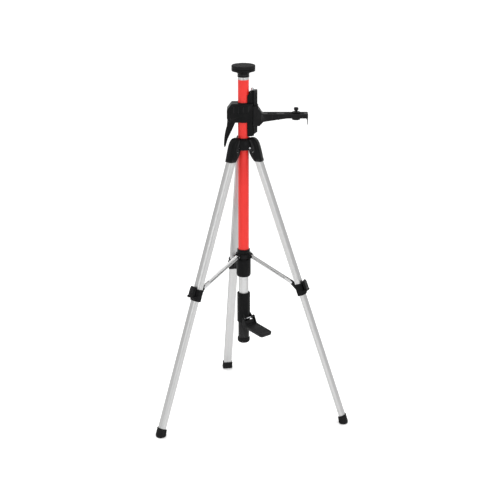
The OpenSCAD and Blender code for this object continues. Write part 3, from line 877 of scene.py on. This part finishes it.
def leg_tube(i, name, shrink, wall, low_w, high_w, body, node):
    """Drawn D-section tube with a shallow groove along each flat side."""
    outer = leg_outline(shrink)
    inner = leg_outline(shrink + wall)
    rim = inset(outer, 0.25)
    bm = bmesh.new()
    add_rings(bm, [level(inner, low_w), level(rim, low_w), level(outer, low_w + 0.25),
                   level(outer, high_w - 0.25), level(rim, high_w), level(inner, high_w)], closed=True)
    obj = mesh_object(name, bm, leg_frame(i))
    cuts = []
    for side in (1, -1):
        y = side * (LEG_HALF - shrink)
        groove = [(-2.9, y - 0.45), (-1.7, y - 0.45), (-1.2, y + 0.5), (-3.4, y + 0.5)]
        cuts.append(cutter_prism(groove, low_w - 1, high_w + 1, 0.01, "XY", leg_frame(i)))
    carve(obj, cuts)
    finish_piece(obj, LEG_METAL[i], body, [node])


def collar(i):
    """Clamp collar: rounded band, pinch lip, flip lever ears outside and the strut tab inside."""
    matrix = leg_frame(i)
    band, groove, flange, lip, fit = 3.0, 2.5, 3.7, -0.2, UPPER_FULL
    profile = [(0.0, COLLAR_BOTTOM), (1.9, COLLAR_BOTTOM), (2.7, COLLAR_BOTTOM + 0.4),
               (band, COLLAR_BOTTOM + 1.2), (band, COLLAR_BOTTOM + 15.4), (groove, COLLAR_BOTTOM + 16.0),
               (groove, COLLAR_BOTTOM + 16.8), (band, COLLAR_BOTTOM + 17.4), (band, COLLAR_TOP - 4.2),
               (flange, COLLAR_TOP - 3.6), (flange, COLLAR_TOP - 1.2), (3.3, COLLAR_TOP - 0.4),
               (2.5, COLLAR_TOP), (fit + 0.05, COLLAR_TOP), (fit, COLLAR_TOP - 0.5), (fit, COLLAR_BOTTOM + 12),
               (lip, COLLAR_BOTTOM + 11.5), (lip, COLLAR_BOTTOM + 0.4)]
    bm = bmesh.new()
    add_rings(bm, [level(leg_outline(-grow), w) for grow, w in profile], closed=True)
    obj = mesh_object(f"leg_collar_band_{i}", bm, matrix)
    root, tab_half, rib_y, rib_half, ear_r = -10.0, 2.0, 6.5, 0.8, 4
    bm = bmesh.new()
    tab = fillet([(root, COLLAR_TOP - 0.5), (root, COLLAR_BOTTOM + 9), (-12.4, COLLAR_BOTTOM + 10),
                  (TAB_X - 4.6, TAB_W - 3.0), (TAB_X - 4.2, TAB_W + 4.2), (TAB_X + 3.5, TAB_W + 4.8)],
                 [0.2, 0.2, 2, 3.5, 4, 3], 5)
    add_prism(bm, tab, -tab_half, tab_half, 0.5)
    rib = [(root, COLLAR_TOP - 3), (root, COLLAR_BOTTOM + 3), (-11.6, COLLAR_BOTTOM + 5),
           (-11.6, COLLAR_TOP - 5)]
    add_pair(bm, rib, rib_y - rib_half, rib_y + rib_half, 0.35)
    ear = [(5, FLIP_W - ear_r)] + arc(FLIP_X, FLIP_W, ear_r, -90, 90, 14) + [(5, FLIP_W + ear_r)]
    add_pair(bm, ear, 10.1, 13.7, 0.8)
    add_bosses(bm, 3.4, 13.4, 14.5, 0.4, (FLIP_X, FLIP_W))
    join(obj, [mesh_object("part", bm, matrix)])
    finish_piece(obj, BLACK, f"leg_{i}", [f"leg_collar_{i}"])


def flip_lever(i):
    tip, half, grips, pin_r, pin_half = COLLAR_TOP + 5, 9.8, 5, 2.0, 13.6
    bm = bmesh.new()
    outline = fillet([(FLIP_X - 2.6, FLIP_W - 2), (FLIP_X + 3, FLIP_W - 2.6), (FLIP_X + 4.7, FLIP_W + 8),
                      (FLIP_X + 4.4, tip - 6), (FLIP_X + 1.6, tip), (FLIP_X - 1.4, tip),
                      (FLIP_X - 2.6, tip - 6)],
                     [1.5, 2, 5, 6, 1.2, 1.2, 6], 5)
    add_prism(bm, outline, -half, half, 1.0, steps=4)
    for k in range(grips):
        w = tip - 6.5 - 2.6 * k
        add_prism(bm, arc(FLIP_X + 4.2, w, 0.8, 0, 315, 7), -7.6, 7.6, 0.3, steps=2)
    add_lathe(bm, disc(pin_r, -pin_half, pin_half, 0.3), 32, closed=False, at=(FLIP_X, 0, FLIP_W), axis="Y")
    lever = mesh_object(f"collar_lever_{i}", bm, leg_frame(i))
    finish_piece(lever, BLACK, f"flip_lever_{i}", [f"flip_lever_{i}"])


def boot(i):
    """Rubber boot, its sole cut level with the floor while its sides follow the leg."""
    sin_a, cos_a = math.sin(SPLAY), math.cos(SPLAY)
    top, toe_in = FOOT_W + BOOT_H, 2.0

    def ring(grow, share, lift=0.0):
        points = []
        for x, y in leg_outline(LOWER_INSET - grow):
            x -= toe_in * (1 - share)
            sole = (lift - PIVOT_Z - (LEG_OFF + x) * sin_a) / cos_a
            points.append((x, y, sole + (top - sole) * share))
        return points

    sole_steps = [(-1.0, 0.0, 0.0), (0.8, 0.0, 0.2), (2.2, 0.0, 0.9), (3.2, 0.0, 2.0), (3.9, 0.0, 3.6)]
    side_steps = [(4.3, 0.22), (4.3, 0.34), (4.0, 0.48), (3.9, 0.50), (3.5, 0.515), (3.5, 0.555), (3.9, 0.57),
                  (3.7, 0.72), (3.4, 0.86), (3.8, 0.88), (3.8, 0.955), (3.4, 0.985), (2.9, 1.0)]
    socket_steps = [(1.5, 1.0), (1.35, 0.985), (1.35, 0.46), (0.8, 0.40)]
    bm = bmesh.new()
    add_rings(bm, [ring(*step) for step in sole_steps + side_steps + socket_steps])
    obj = mesh_object(f"rubber_boot_{i}", bm, leg_frame(i))
    finish_piece(obj, RUBBER, f"lower_leg_{i}", [f"leg_foot_{i}"])


def leg(i):
    hood(i)
    leg_tube(i, f"leg_upper_{i}", -UPPER_FULL, 1.0, COLLAR_BOTTOM + 12, -12, f"leg_{i}",
             f"leg_upper_tube_{i}")
    leg_tube(i, f"leg_lower_{i}", LOWER_INSET - LOWER_FULL, 1.2, FOOT_W + 14, -352, f"lower_leg_{i}",
             f"leg_lower_tube_{i}")
    collar(i)
    flip_lever(i)
    boot(i)
    strut(i)


# ---- Lower pole, jack and pedal ----

def lower_tube():
    bottom, top, bead = low("inner_tube").z, high("inner_tube").z, low("twist_lock").z - 7
    inner, groove_r = INNER_R - 1.2, INNER_R - 0.25
    profile = [(inner, bottom), (INNER_R, bottom), (INNER_R, bead - 0.5), (groove_r, bead - 0.2),
               (groove_r, bead + 0.2), (INNER_R, bead + 0.5), (INNER_R, top - 0.4),
               (INNER_R - 0.4, top), (inner, top)]
    turned_piece("lower_pole_tube", profile, 96, POLE_METAL, "lower_pole", "inner_tube")


def jack_sleeve():
    """Sleeve on the end of the lower tube, ribbed at its mouth, with the pedal pin's two lugs."""
    bottom, top, shoulder = low("jack_sleeve").z - 4, high("jack_sleeve").z, low("inner_tube").z
    r, groove_r, edge, bore = SLEEVE_R, SLEEVE_R - 0.4, 1.4, JACK_R + 0.05
    mouth_r, throat_r = INNER_R + 2.5, INNER_R + 0.3
    bm = bmesh.new()
    mouth = [(INNER_R + 2.6, top - 0.9), (INNER_R + 2.2, top - 2.4), (INNER_R + 0.1, top - 2.6)]
    add_lathe(bm, [(bore, bottom), (r - 1.6, bottom)] + arc(r - edge, bottom + edge, edge, -80, 0, 4)
              + [(r, top - 4.4), (groove_r, top - 4.0), (groove_r, top - 3.4), (r, top - 3.0)]
              + arc(r - edge, top - edge, edge, 0, 90, 4) + mouth
              + [(INNER_R, top - 2.8), (INNER_R, shoulder), (bore, shoulder)], 96)
    ribs = 20
    for k in range(ribs):
        turn = Matrix.Rotation(2 * math.pi * k / ribs, 4, "Z")
        bm.verts.ensure_lookup_table()
        start = len(bm.verts)
        add_prism(bm, [(throat_r, -0.6), (mouth_r, -0.8), (mouth_r, 0.8), (throat_r, 0.6)],
                  top - 3.0, top - 1.3, 0.2, "XY", 1)
        bm.verts.ensure_lookup_table()
        bmesh.ops.transform(bm, matrix=turn, verts=bm.verts[start:])
    sleeve = mesh_object("jack_sleeve_body", bm)
    pin_r, pin_z = PEDAL_PIN_R, PEDAL_PIN_Z
    lug_x, lug_r = 12.0, 4.5
    rib_in, rib_out = r - 1, r + 1.0
    bm = bmesh.new()
    lug = ([(lug_x, pin_z + 13), (pin_r - 2.5, pin_z + 8)] + arc(pin_r, pin_z, lug_r, 60, -90, 12)
           + [(lug_x, pin_z - lug_r)])
    add_pair(bm, lug, 10.0, 14.0, 0.7)
    rib = [(rib_in, pin_z + 22), (rib_out, pin_z + 12), (rib_out, pin_z + 2), (rib_in, pin_z - 4)]
    add_prism(bm, rib, -1.0, 1.0, 0.4)
    lugs = mesh_object("part", bm, pedal_frame())
    carve(lugs, [cutter_rod(r - 1.5, bottom - 5, top + 5)])
    join(sleeve, [lugs])
    finish_piece(sleeve, BLACK, "lower_pole", ["jack_sleeve"])


def jack():
    """Steel plunger in the sleeve, and the rubber foot on its end."""
    foot, top, rim = low("pole_foot").z, high("jack_tube").z, high("pole_foot").x
    socket, wall, chamfer = foot + 7, 2, 0.4
    profile = [(JACK_R - wall, socket), (JACK_R, socket), (JACK_R, top - chamfer), (JACK_R - chamfer, top),
               (JACK_R - wall, top)]
    turned_piece("jack_plunger", profile, 96, SATIN, "jack", "jack_tube")

    sole, groove_r, shoulder = 7.2, rim - 0.7, 1.7
    profile = ([(0, foot + 0.5), (7.5, foot + 0.5), (8.2, foot), (rim - sole, foot)]
               + arc(rim - sole, foot + sole, sole, -90, -4, 12)
               + [(rim, foot + 8.6), (groove_r, foot + 9.1), (groove_r, foot + 10.1), (rim, foot + 10.6),
                  (rim, foot + 12.4)]
               + arc(rim - shoulder, foot + 13.2, shoulder, 0, 84, 5)
               + [(JACK_R, foot + 15.4), (JACK_R, socket), (0, socket)])
    turned_piece("pole_foot_rubber", profile, 96, RUBBER, "jack", "pole_foot", closed=False)


def foot_pedal():
    """Dished tread on two cheeks that hang from the cross pin."""
    half, root, tip, root_z, tip_z = 21.0, 26.0, 97.0, 269.5, 259.5
    pin_r, pin_z = PEDAL_PIN_R, PEDAL_PIN_Z
    corner, rim, skirt_low, skirt_in = 9, 3.4, -9.3, -2.2
    slope = math.atan2(root_z - tip_z, tip - root)
    length = math.hypot(tip - root, root_z - tip_z)
    matrix = pedal_frame()
    tread = matrix @ Matrix.Translation((root, 0, root_z)) @ Matrix.Rotation(slope, 4, "Y")
    outline = fillet([(0, -half), (length, -half), (length, half), (0, half)], [0, corner, corner, 0], 8)
    bm = bmesh.new()
    add_prism(bm, outline, -4.2, 0.0, 1.3, "XY", 4)
    plate = mesh_object("foot_pedal", bm, tread)
    dish = fillet([(5, -half), (length, -half), (length, half), (5, half)], [3, corner, corner, 3], 8)
    carve(plate, [cutter_prism(inset(counter_clockwise(dish), rim), -0.9, 4.0, 0.3, "XY", tread, 2)])
    bm = bmesh.new()
    bars, bar_half, bar_reach = 7, 0.9, 13.5
    for k in range(bars):
        x = length - 12 - 4.6 * k
        bar = box_outline(x - bar_half, x + bar_half, -bar_reach, bar_reach)
        add_prism(bm, fillet(bar, 0.8, 3), -1.6, -0.45, 0.3, "XY", 2)
    nose = inset(counter_clockwise(outline), 0.05)
    inner = inset(nose, 2.6)
    drawn_in = [(x - max(0, x - length + corner) * 0.03, y) for x, y in nose]
    rows = [level(nose, skirt_in), level(drawn_in, -8.4), level(inset(nose, 0.9), skirt_low),
            level(inset(nose, 1.8), skirt_low), level(inner, -8.6), level(inner, skirt_in)]
    add_rings(bm, rows, closed=True)
    for y in (-8.0, 0.0, 8.0):
        stiffener = [(4, -3), (length - 4, -3), (length - 4, -7.5), (10, -7.0), (4, -5)]
        add_prism(bm, stiffener, y - bar_half, y + bar_half, 0.3)
    skirt = mesh_object("part", bm, tread)
    bm = bmesh.new()
    cheek = fillet([(root - 9.5, root_z - 3), (root - 11, pin_z + 0.5), (root - 7.5, pin_z + 5.2),
                    (root - 2.5, pin_z + 4.4), (root + 5.5, root_z + 0.2), (root + 14, root_z - 3),
                    (root + 8, root_z - 10), (root, root_z - 9)], [3, 4, 3.5, 3, 6, 2, 4, 4], 5)
    add_pair(bm, cheek, half - 3, half, 0.8)
    add_bosses(bm, 3.6, half - 0.4, half + 0.7, 0.4, (pin_r, pin_z))
    web = [(root + 1, root_z - 4), (root + 1, root_z), (pin_r + 4.5, pin_z - 6.5), (pin_r + 1.5, pin_z - 5.6),
           (pin_r - 0.5, pin_z - 8.5), (root - 4, root_z - 5)]
    add_prism(bm, fillet(web, 0.9, 3), 3 - half, half - 3, 0.5)
    cheeks = mesh_object("part", bm, matrix)
    join(plate, [skirt, cheeks])
    finish_piece(plate, CASTING, "pedal", ["pedal"])


# ---- Clamp, lever, rail and bracket ----

def clamp_body():
    bottom, top = low("clamp_body").z, high("clamp_body").z
    half, face, back = 21.0, 25.5, -45
    below, above = bottom - 1, top + 1
    lever_x, lever_z, lever_half = low("clamp_body").x + 10, bottom + 10, 8.8
    outline = fillet([(-32, top), (back, top - 17), (back, bottom + 11), (-38.5, bottom), (face, bottom),
                      (face, top)], [5, 7, 7, 5, 2.6, 2.6], 5)
    bm = bmesh.new()
    add_prism(bm, outline, -half, half, 2.2, steps=4)
    body = mesh_object("clamp_housing", bm)
    cuts = [cutter_rod(POLE_R + 1, below, above, segments=96),
            cutter_box((-60, -1, below), (-10, 1, above)),
            cutter_box((POLE_R + 1.2, -8, below), (35, 8, above)),
            cutter_box((-60, -lever_half, below), (-20.5, lever_half, bottom + 21.5)),
            cutter_rod(2.5, -40, 40, None, "Y", (lever_x, 0, lever_z), 40)]
    panel = fillet([(-30, top - 6), (-39.5, top - 19), (-39.5, bottom + 24), (12, bottom + 24),
                    (12, top - 6)], 3, 4)
    for start, end in sides(half - 0.7, half + 5):
        cuts.append(cutter_prism(panel, start, end, 0.2))
    screw_x = high("rail_screws").x - 2.6
    for z in (bottom + 10, top - 10):
        cuts.append(cutter_rod(2.9, half - 4, half + 4, None, "Y", (screw_x, 0, z), 32))
    carve(body, cuts)
    rib_half, rib_low, rib_high = 1.1, bottom + 26, top - 8
    bm = bmesh.new()
    for start, end in sides(half - 1.2, half + 0.3):
        add_lathe(bm, hoop(6.2, 2.5, start, end, 0.5), 40, at=(lever_x, 0, lever_z), axis="Y")
    for x in (-26, -13, 0):
        rib = fillet(box_outline(x - rib_half, x + rib_half, rib_low, rib_high), 1, 3)
        add_pair(bm, rib, half - 1.2, half - 0.1, 0.3)
    join(body, [mesh_object("part", bm)])
    finish_piece(body, BLACK, "clamp", ["clamp_body"], 0.45)


def cam_lever():
    """Quick lever: round cam on its pin, long bowed blade with grip ribs down the outer edge."""
    pin_x, pin_z, half, cam_r = -35.0, 862.0, 8, 8.5
    outer = [(pin_x - 8.4, pin_z), (-45.8, 836), (-50.0, 819), (-52.2, 802.5), (-53.0, 787), (-52.4, 781.4)]
    inner = [(-50.4, 780.4), (-48.6, 784), (-43.4, 802.5), (-36.0, 819), (-28.0, 836), (-21.8, 850.5),
             (-23.5, pin_z - 4), (pin_x + 6, pin_z)]
    radii = [1, 30, 30, 30, 6, 1.6, 1.6, 6, 30, 30, 30, 3, 3, 1]
    bm = bmesh.new()
    add_prism(bm, fillet(outer + inner, radii, 6), -half, half, 1.4, steps=4)
    add_lathe(bm, disc(cam_r, -cam_r, cam_r, 0.8), 64, closed=False, at=(pin_x, 0, pin_z), axis="Y")
    spine = [Vector(p) for p in ((-46.9, 832), (-50.1, 818), (-52.1, 803), (-53.0, 788))]
    ribs, rib_half = 13, 7.4
    for k in range(ribs):
        t = k / (ribs - 1) * (len(spine) - 1)
        n = min(int(t), len(spine) - 2)
        p = spine[n].lerp(spine[n + 1], t - n)
        add_prism(bm, arc(p.x + 0.45, p.y, 1.15, 0, 330, 11), -rib_half, rib_half, 0.4, steps=2)
    plate = fillet([(-44.6, 830), (-48.9, 812), (-50.6, 796), (-50.9, 788), (-49.9, 788), (-49.0, 797),
                    (-46.2, 812), (-40.8, 829)], 3, 4)
    add_pair(bm, plate, half - 0.6, half + 0.35, 0.3, 2)
    lever = mesh_object("clamp_cam_lever", bm)
    finish_piece(lever, BLACK, "cam_lever", ["cam_lever"])


def rail():
    """Lifting rail: a T in section, with a flange beside the pole on each side and a slot for its screw."""
    bottom, top = low("rail").z, high("rail").z
    face, out = POLE_R + 1.2, high("rail").x
    web_half, head_half = 8, 12.5
    bm = bmesh.new()
    add_prism(bm, fillet([(face, bottom), (face, top - 12), (21, top), (RAIL_STEP, top), (RAIL_STEP, bottom)],
                         [1, 5, 3, 0, 2], 4), -web_half, web_half, 0.7)
    rail_obj = mesh_object("lifting_rail", bm)
    head = bmesh.new()
    add_prism(head, fillet([(RAIL_STEP - 1, bottom + 5.5), (RAIL_STEP - 1, top), (out, top),
                            (out, bottom + 12.5)], [0, 0, 0.9, 2.5], 4), -head_half, head_half, 0.7)
    flanges = bmesh.new()
    spacers = bmesh.new()
    edge_x, back_x, flange_low = POLE_R - 4.5, 24.5, bottom + 0.4
    flange = fillet([(edge_x, flange_low), (edge_x, top - 14), (edge_x + 7, top - 4), (back_x, top - 4),
                     (back_x, flange_low)], [1.5, 4, 3, 1, 1], 4)
    spacer = [(face + 1.5, bottom + 2), (face + 1.5, top - 14), (back_x - 1, top - 6),
              (back_x - 1, bottom + 2)]
    add_pair(flanges, flange, 11.4, 14.0, 0.7)
    add_pair(spacers, spacer, 7.0, 12.2, 0.4)
    additions = [mesh_object("head", head), mesh_object("flanges", flanges), mesh_object("spacers", spacers)]
    carve(rail_obj, additions, "UNION")
    slot_half, notch_half = 4.2, 9.5
    cuts = [cutter_box((20.3, -slot_half, bottom + 1.5), (50, slot_half, top - 8)),
            cutter_rod(3.05, 900, top + 5, at=(RAIL_SCREW_X, 0, 0), segments=40),
            cutter_box((30.4, -notch_half, top - 1.1), (36.8, notch_half, top + 4))]
    for start, end in sides(11.9, 14.0):
        for x in (31.2, 34.6):
            cuts.append(cutter_box((x, start, bottom + 16), (x + 1.2, end, top - 5)))
    carve(rail_obj, cuts)
    finish_piece(rail_obj, BLACK, "clamp", ["rail"], 0.35)


def lifting_screw():
    """Threaded rod in the rail's slot, with a knurled knob above the rail."""
    start, top, rail_top = low("height_screw").z, high("height_screw").z, high("rail").z
    pitch, core_r, thread_r, knob_r, knurls, row = 4.0, 2.2, 3.0, 4.2, 18, 0.5
    thread_top = rail_top - 9

    def thread(turn, r, z):
        if r < 2.5 or r > 3.2 or z > thread_top:
            return r
        phase = (z / pitch + turn / (2 * math.pi)) % 1.0
        return r - 0.55 * min(1.0, max(0.0, 3.2 * abs(phase - 0.5) - 0.55))

    def knurl(turn, r, z):
        if r < 3.9:
            return thread(turn, r, z)
        return r - 0.28 * (0.5 + 0.5 * math.cos(knurls * turn)) ** 2

    rows = int((thread_top - start) / row)
    shank = [(0, start), (core_r, start)]
    shank += [(thread_r, start + 0.6 + (thread_top - start - 0.6) * k / rows) for k in range(rows + 1)]
    knob = [(thread_r, rail_top + 0.3), (3.9, rail_top + 0.3), (knob_r, rail_top + 0.8), (knob_r, top - 2.2),
            (3.9, top - 1.6), (3.0, top - 0.5), (1.6, top), (0, top)]
    turned_piece("lifting_screw", shank + knob, 36, STEEL, "height_screw", "height_screw",
                 closed=False, swell=knurl, at=(RAIL_SCREW_X, 0, 0))


def bracket():
    """Carriage that wraps the rail, wedge, and the slotted arm with its guard blade."""
    bottom, top, arm_end = low("bracket_arm").z, high("bracket_arm").z, high("bracket_arm").x
    arm_top, arm_low, arm_half, carriage_half, blade_half, blade_low = 875.0, 862.5, 15.0, 18, 6, 843.5
    arm_root, arm_bend, wedge = 44, 118, 46
    slots, slot_half, slot_corner = ((66, 90), (112, 165)), 5.2, 4.6
    carriage = fillet([(26, bottom), (26, top), (40.5, top), (40.5, top - 6), (wedge, top - 14),
                       (wedge, bottom)], [1.8, 1.8, 2.5, 2, 3, 3], 4)
    bm = bmesh.new()
    add_prism(bm, carriage, -carriage_half, carriage_half, 1.6, steps=4)
    arm = mesh_object("bracket_arm_casting", bm)
    bar = bmesh.new()
    add_prism(bar, fillet([(arm_root, bottom + 1), (arm_root, top - 10), (50.6, arm_top + 1.5), (53, arm_top),
                           (arm_end, arm_top), (arm_end, arm_low), (arm_bend, arm_low), (54, 853),
                           (48.5, 846)], [0, 0, 2, 3, 1.6, 1.6, 30, 8, 5], 5),
              -arm_half, arm_half, 1.2, steps=4)
    blade = bmesh.new()
    add_prism(blade, fillet([(168, arm_low + 2), (arm_end, arm_low + 2), (arm_end, blade_low),
                             (arm_end - 1.4, blade_low), (173.4, 856)], [0, 0, 0.6, 0.6, 5], 3),
              -blade_half, blade_half, 0.5, steps=2)
    carve(arm, [mesh_object("arm", bar), mesh_object("blade", blade)], "UNION")
    below, above, step = bottom - 1, top + 1, RAIL_STEP - 0.2
    cuts = [cutter_box((20, -8.2, below), (step, 8.2, above)),
            cutter_box((step, -12.7, below), (high("rail").x + 0.4, 12.7, above))]
    loops = [fillet(box_outline(x0, x1, -slot_half, slot_half), slot_corner, 6) for x0, x1 in slots]
    for loop in loops:
        cuts.append(cutter_prism(loop, 840, 890, 0.01, "XY"))
    tray = fillet(box_outline(56, arm_end - 3, -12.2, 12.2), 3, 4)
    cuts.append(cutter_prism(tray, arm_top - 0.9, arm_top + 5, 0.1, "XY"))
    panel_high, panel_low, panel_end = arm_top - 4, arm_low + 3.4, arm_end - 6
    panel = fillet([(60, panel_high), (panel_end, panel_high), (panel_end, panel_low), (arm_bend, panel_low),
                    (60, 857.5)], [2, 2, 2, 20, 3], 4)
    for start, end in sides(arm_half - 0.8, arm_half + 4):
        cuts.append(cutter_prism(panel, start, end, 0.15))
    carve(arm, cuts)
    bm = bmesh.new()
    rim_low, rim_high = arm_top - 1.4, arm_top - 0.15
    for loop in loops:
        loop = counter_clockwise(loop)
        outer, inner = inset(loop, -1.9), inset(loop, 0.0)
        add_rings(bm, [level(outer, rim_low), level(outer, rim_high - 0.3), level(inset(outer, 0.3), rim_high),
                       level(inset(inner, -0.3), rim_high), level(inner, rim_high - 0.3),
                       level(inner, rim_low)], closed=True)
    for x in (96.5, 101.0, 105.5):
        bar = fillet(box_outline(x - 0.8, x + 0.8, -8, 8), 0.7, 3)
        add_prism(bm, bar, rim_low, arm_top - 0.2, 0.25, "XY", 2)
    add_bosses(bm, 2.6, arm_half - 1.4, arm_half + 0.35, 0.5, (arm_end - 4.4, arm_top - 5.6))
    for x in (78, 96):
        rib = box_outline(x - 0.8, x + 0.8, arm_top - 3.6, 858.5)
        add_prism(bm, rib, arm_half - 1.3, arm_half - 0.05, 0.2, steps=1)
        add_prism(bm, rib, -arm_half - 0.25, 1.4 - arm_half, 0.2, steps=1)
    join(arm, [mesh_object("part", bm)])
    finish_piece(arm, CASTING, "carriage", ["bracket_arm"], 0.4)


def stud():
    """Stud in the arm's slot: seat disc above, capped thread, and the thumb nut below."""
    x = (low("laser_stud").x + high("laser_stud").x) / 2
    at = (x, 0, 0)
    seat, flange_top = low("stud_flange").z, high("stud_flange").z
    knob_low, top = low("laser_stud").z, high("laser_stud").z - 2.0
    under = low("bracket_arm").z + 20.5 - 0.2
    flange_r, thread_r = high("stud_flange").x - x, high("laser_stud").x - x
    pitch = 25.4 / 16
    hole, edge, ring_z, teeth, bumps = 4.1, 0.8, flange_top - 0.25, 40, 16

    def rim(turn, r, z):
        return r - (0.3 * (0.5 + 0.5 * math.cos(teeth * turn)) ** 2 if r > flange_r - 0.2 else 0)

    profile = ([(hole, seat), (flange_r - edge, seat)] + arc(flange_r - edge, seat + edge, edge, -80, 0, 3)
               + [(flange_r, flange_top - 0.9)] + arc(flange_r - edge, flange_top - edge, edge, 0, 90, 4)
               + [(8.4, flange_top), (8.1, ring_z), (7.6, ring_z), (7.3, flange_top),
                  (4.5, flange_top), (hole, flange_top - 0.4)])
    turned_piece("stud_seat_disc", profile, 160, BLACK, "stud_slider", "stud_flange",
                 swell=rim, at=at)

    start, end, rows = 881.9, 883.2, 20
    shank_r, neck_r, cap_r, grips, crown = 4.0, 3.7, thread_r + 1.6, 24, 2.2

    def thread(turn, r, z):
        if r > thread_r + 0.01:
            return r - 0.22 * (0.5 + 0.5 * math.cos(grips * turn)) ** 2 if end + 1 < z < top - 2 else r
        if r < thread_r - 0.01 or z < start + 0.2 or z > end - 0.1:
            return r
        phase = (z / pitch - turn / (2 * math.pi)) % 1.0
        return r - 0.5 * min(1.0, max(0.0, 2.4 * abs(phase - 0.5) - 0.15))

    profile = ([(0, knob_low), (shank_r, knob_low), (shank_r, 880.2), (neck_r, 880.5), (neck_r, 881.4),
                (thread_r - 0.5, 881.7)]
               + [(thread_r, start + (end - start) * k / rows) for k in range(rows + 1)]
               + [(cap_r - 1.2, end + 0.1), (cap_r - 0.4, end + 0.5), (cap_r, end + 1.4), (cap_r, top - 3.4)]
               + arc(cap_r - crown, top - crown, crown, 0, 80, 5)
               + [(crown, top), (1.9, top - 0.5), (0, top - 0.6)])
    turned_piece("threaded_stud", profile, 64, SATIN, "stud_screw", "laser_stud",
                 closed=False, swell=thread, at=at)

    def lobes(turn, r, z):
        return r - (0.7 * (0.5 + 0.5 * math.cos(bumps * turn)) ** 3 if r > flange_r - 1.6 else 0)

    round_r = flange_r - 1.0
    profile = ([(shank_r, knob_low), (7.4, knob_low), (7.8, knob_low + 0.4), (flange_r - 1.2, knob_low + 0.4)]
               + arc(round_r, knob_low + 1.4, 1.0, -85, 0, 4)
               + [(flange_r, under - 1.1)] + arc(round_r, under - 1.0, 1.0, 0, 90, 4) + [(shank_r, under)])
    turned_piece("stud_thumb_nut", profile, 160, BLACK, "stud_screw", "stud_knob",
                 swell=lobes, at=at)


ceiling_pad()
pad_spring()
pole()
twist_lock()
spreader_hub()
tripod_head()
for number in LEGS:
    leg(number)
lower_tube()
jack_sleeve()
jack()
foot_pedal()
clamp_body()
cam_lever()
rail()
lifting_screw()
bracket()
stud()


# ---- Studio: pale floor, soft lights, camera ----

SKY_TOWARDS = (0.0, 0.45, 0.9)
SKY_DARK = 0.70
SKY_BRIGHT = 1.05


def studio():
    """Floor just below the feet, and a sky that is brighter at the back and overhead."""
    half_width, cells, gap = 14.0, 24, 0.0003
    bm = bmesh.new()
    bmesh.ops.create_grid(bm, x_segments=cells, y_segments=cells, size=half_width)
    mesh = bpy.data.meshes.new("floor")
    bm.to_mesh(mesh)
    bm.free()
    floor = bpy.data.objects.new("floor", mesh)
    floor.location = (0, 0, -gap)
    bpy.context.scene.collection.objects.link(floor)
    floor.data.materials.append(studio_floor())

    world = bpy.data.worlds.new("studio")
    world.use_nodes = True
    bpy.context.scene.world = world
    tree = world.node_tree
    coords = tree.nodes.new("ShaderNodeTexCoord")
    facing = tree.nodes.new("ShaderNodeVectorMath")
    facing.operation = "DOT_PRODUCT"
    facing.inputs[1].default_value = SKY_TOWARDS
    glow = tree.nodes.new("ShaderNodeMapRange")
    glow.interpolation_type = "SMOOTHSTEP"
    ends = {"From Min": -0.05, "From Max": 0.55, "To Min": SKY_DARK, "To Max": SKY_BRIGHT}
    for socket, value in ends.items():
        glow.inputs[socket].default_value = value
    tree.links.new(coords.outputs["Generated"], facing.inputs[0])
    tree.links.new(facing.outputs["Value"], glow.inputs["Value"])
    tree.links.new(glow.outputs["Result"], tree.nodes["Background"].inputs["Strength"])
    tree.nodes["Background"].inputs["Color"].default_value = (1.0, 1.0, 1.0, 1)


def soft_light(name, spot, aim, size, watts):
    data = bpy.data.lights.new(name, "AREA")
    data.shape = "RECTANGLE"
    data.size, data.size_y = size
    data.energy = watts
    light = bpy.data.objects.new(name, data)
    light.location = spot
    light.rotation_euler = (Vector(aim) - Vector(spot)).to_track_quat("-Z", "Y").to_euler()
    bpy.context.scene.collection.objects.link(light)


def camera():
    """Camera of the photograph, as fitted to the legs, feet and pole."""
    data = bpy.data.cameras.new("camera")
    data.sensor_width = 36
    data.lens = 105.16
    data.clip_end = 100
    cam = bpy.data.objects.new("camera", data)
    cam.location = (0.0179, -3.8892, 1.7656)
    cam.rotation_euler = (math.radians(71.74), 0, 0)
    bpy.context.scene.collection.objects.link(cam)
    bpy.context.scene.camera = cam
    bpy.context.scene.view_settings.view_transform = "Standard"


studio()
soft_light("key_softbox", (1.3, -2.6, 1.9), (0, 0, 0.55), (0.7, 1.8), 26)
soft_light("left_strip", (-1.9, -2.6, 1.4), (0, 0, 0.6), (1.2, 1.6), 9)
soft_light("top_softbox", (-0.5, 0.6, 2.8), (0, 0, 0.6), (1.2, 1.2), 16)
camera()
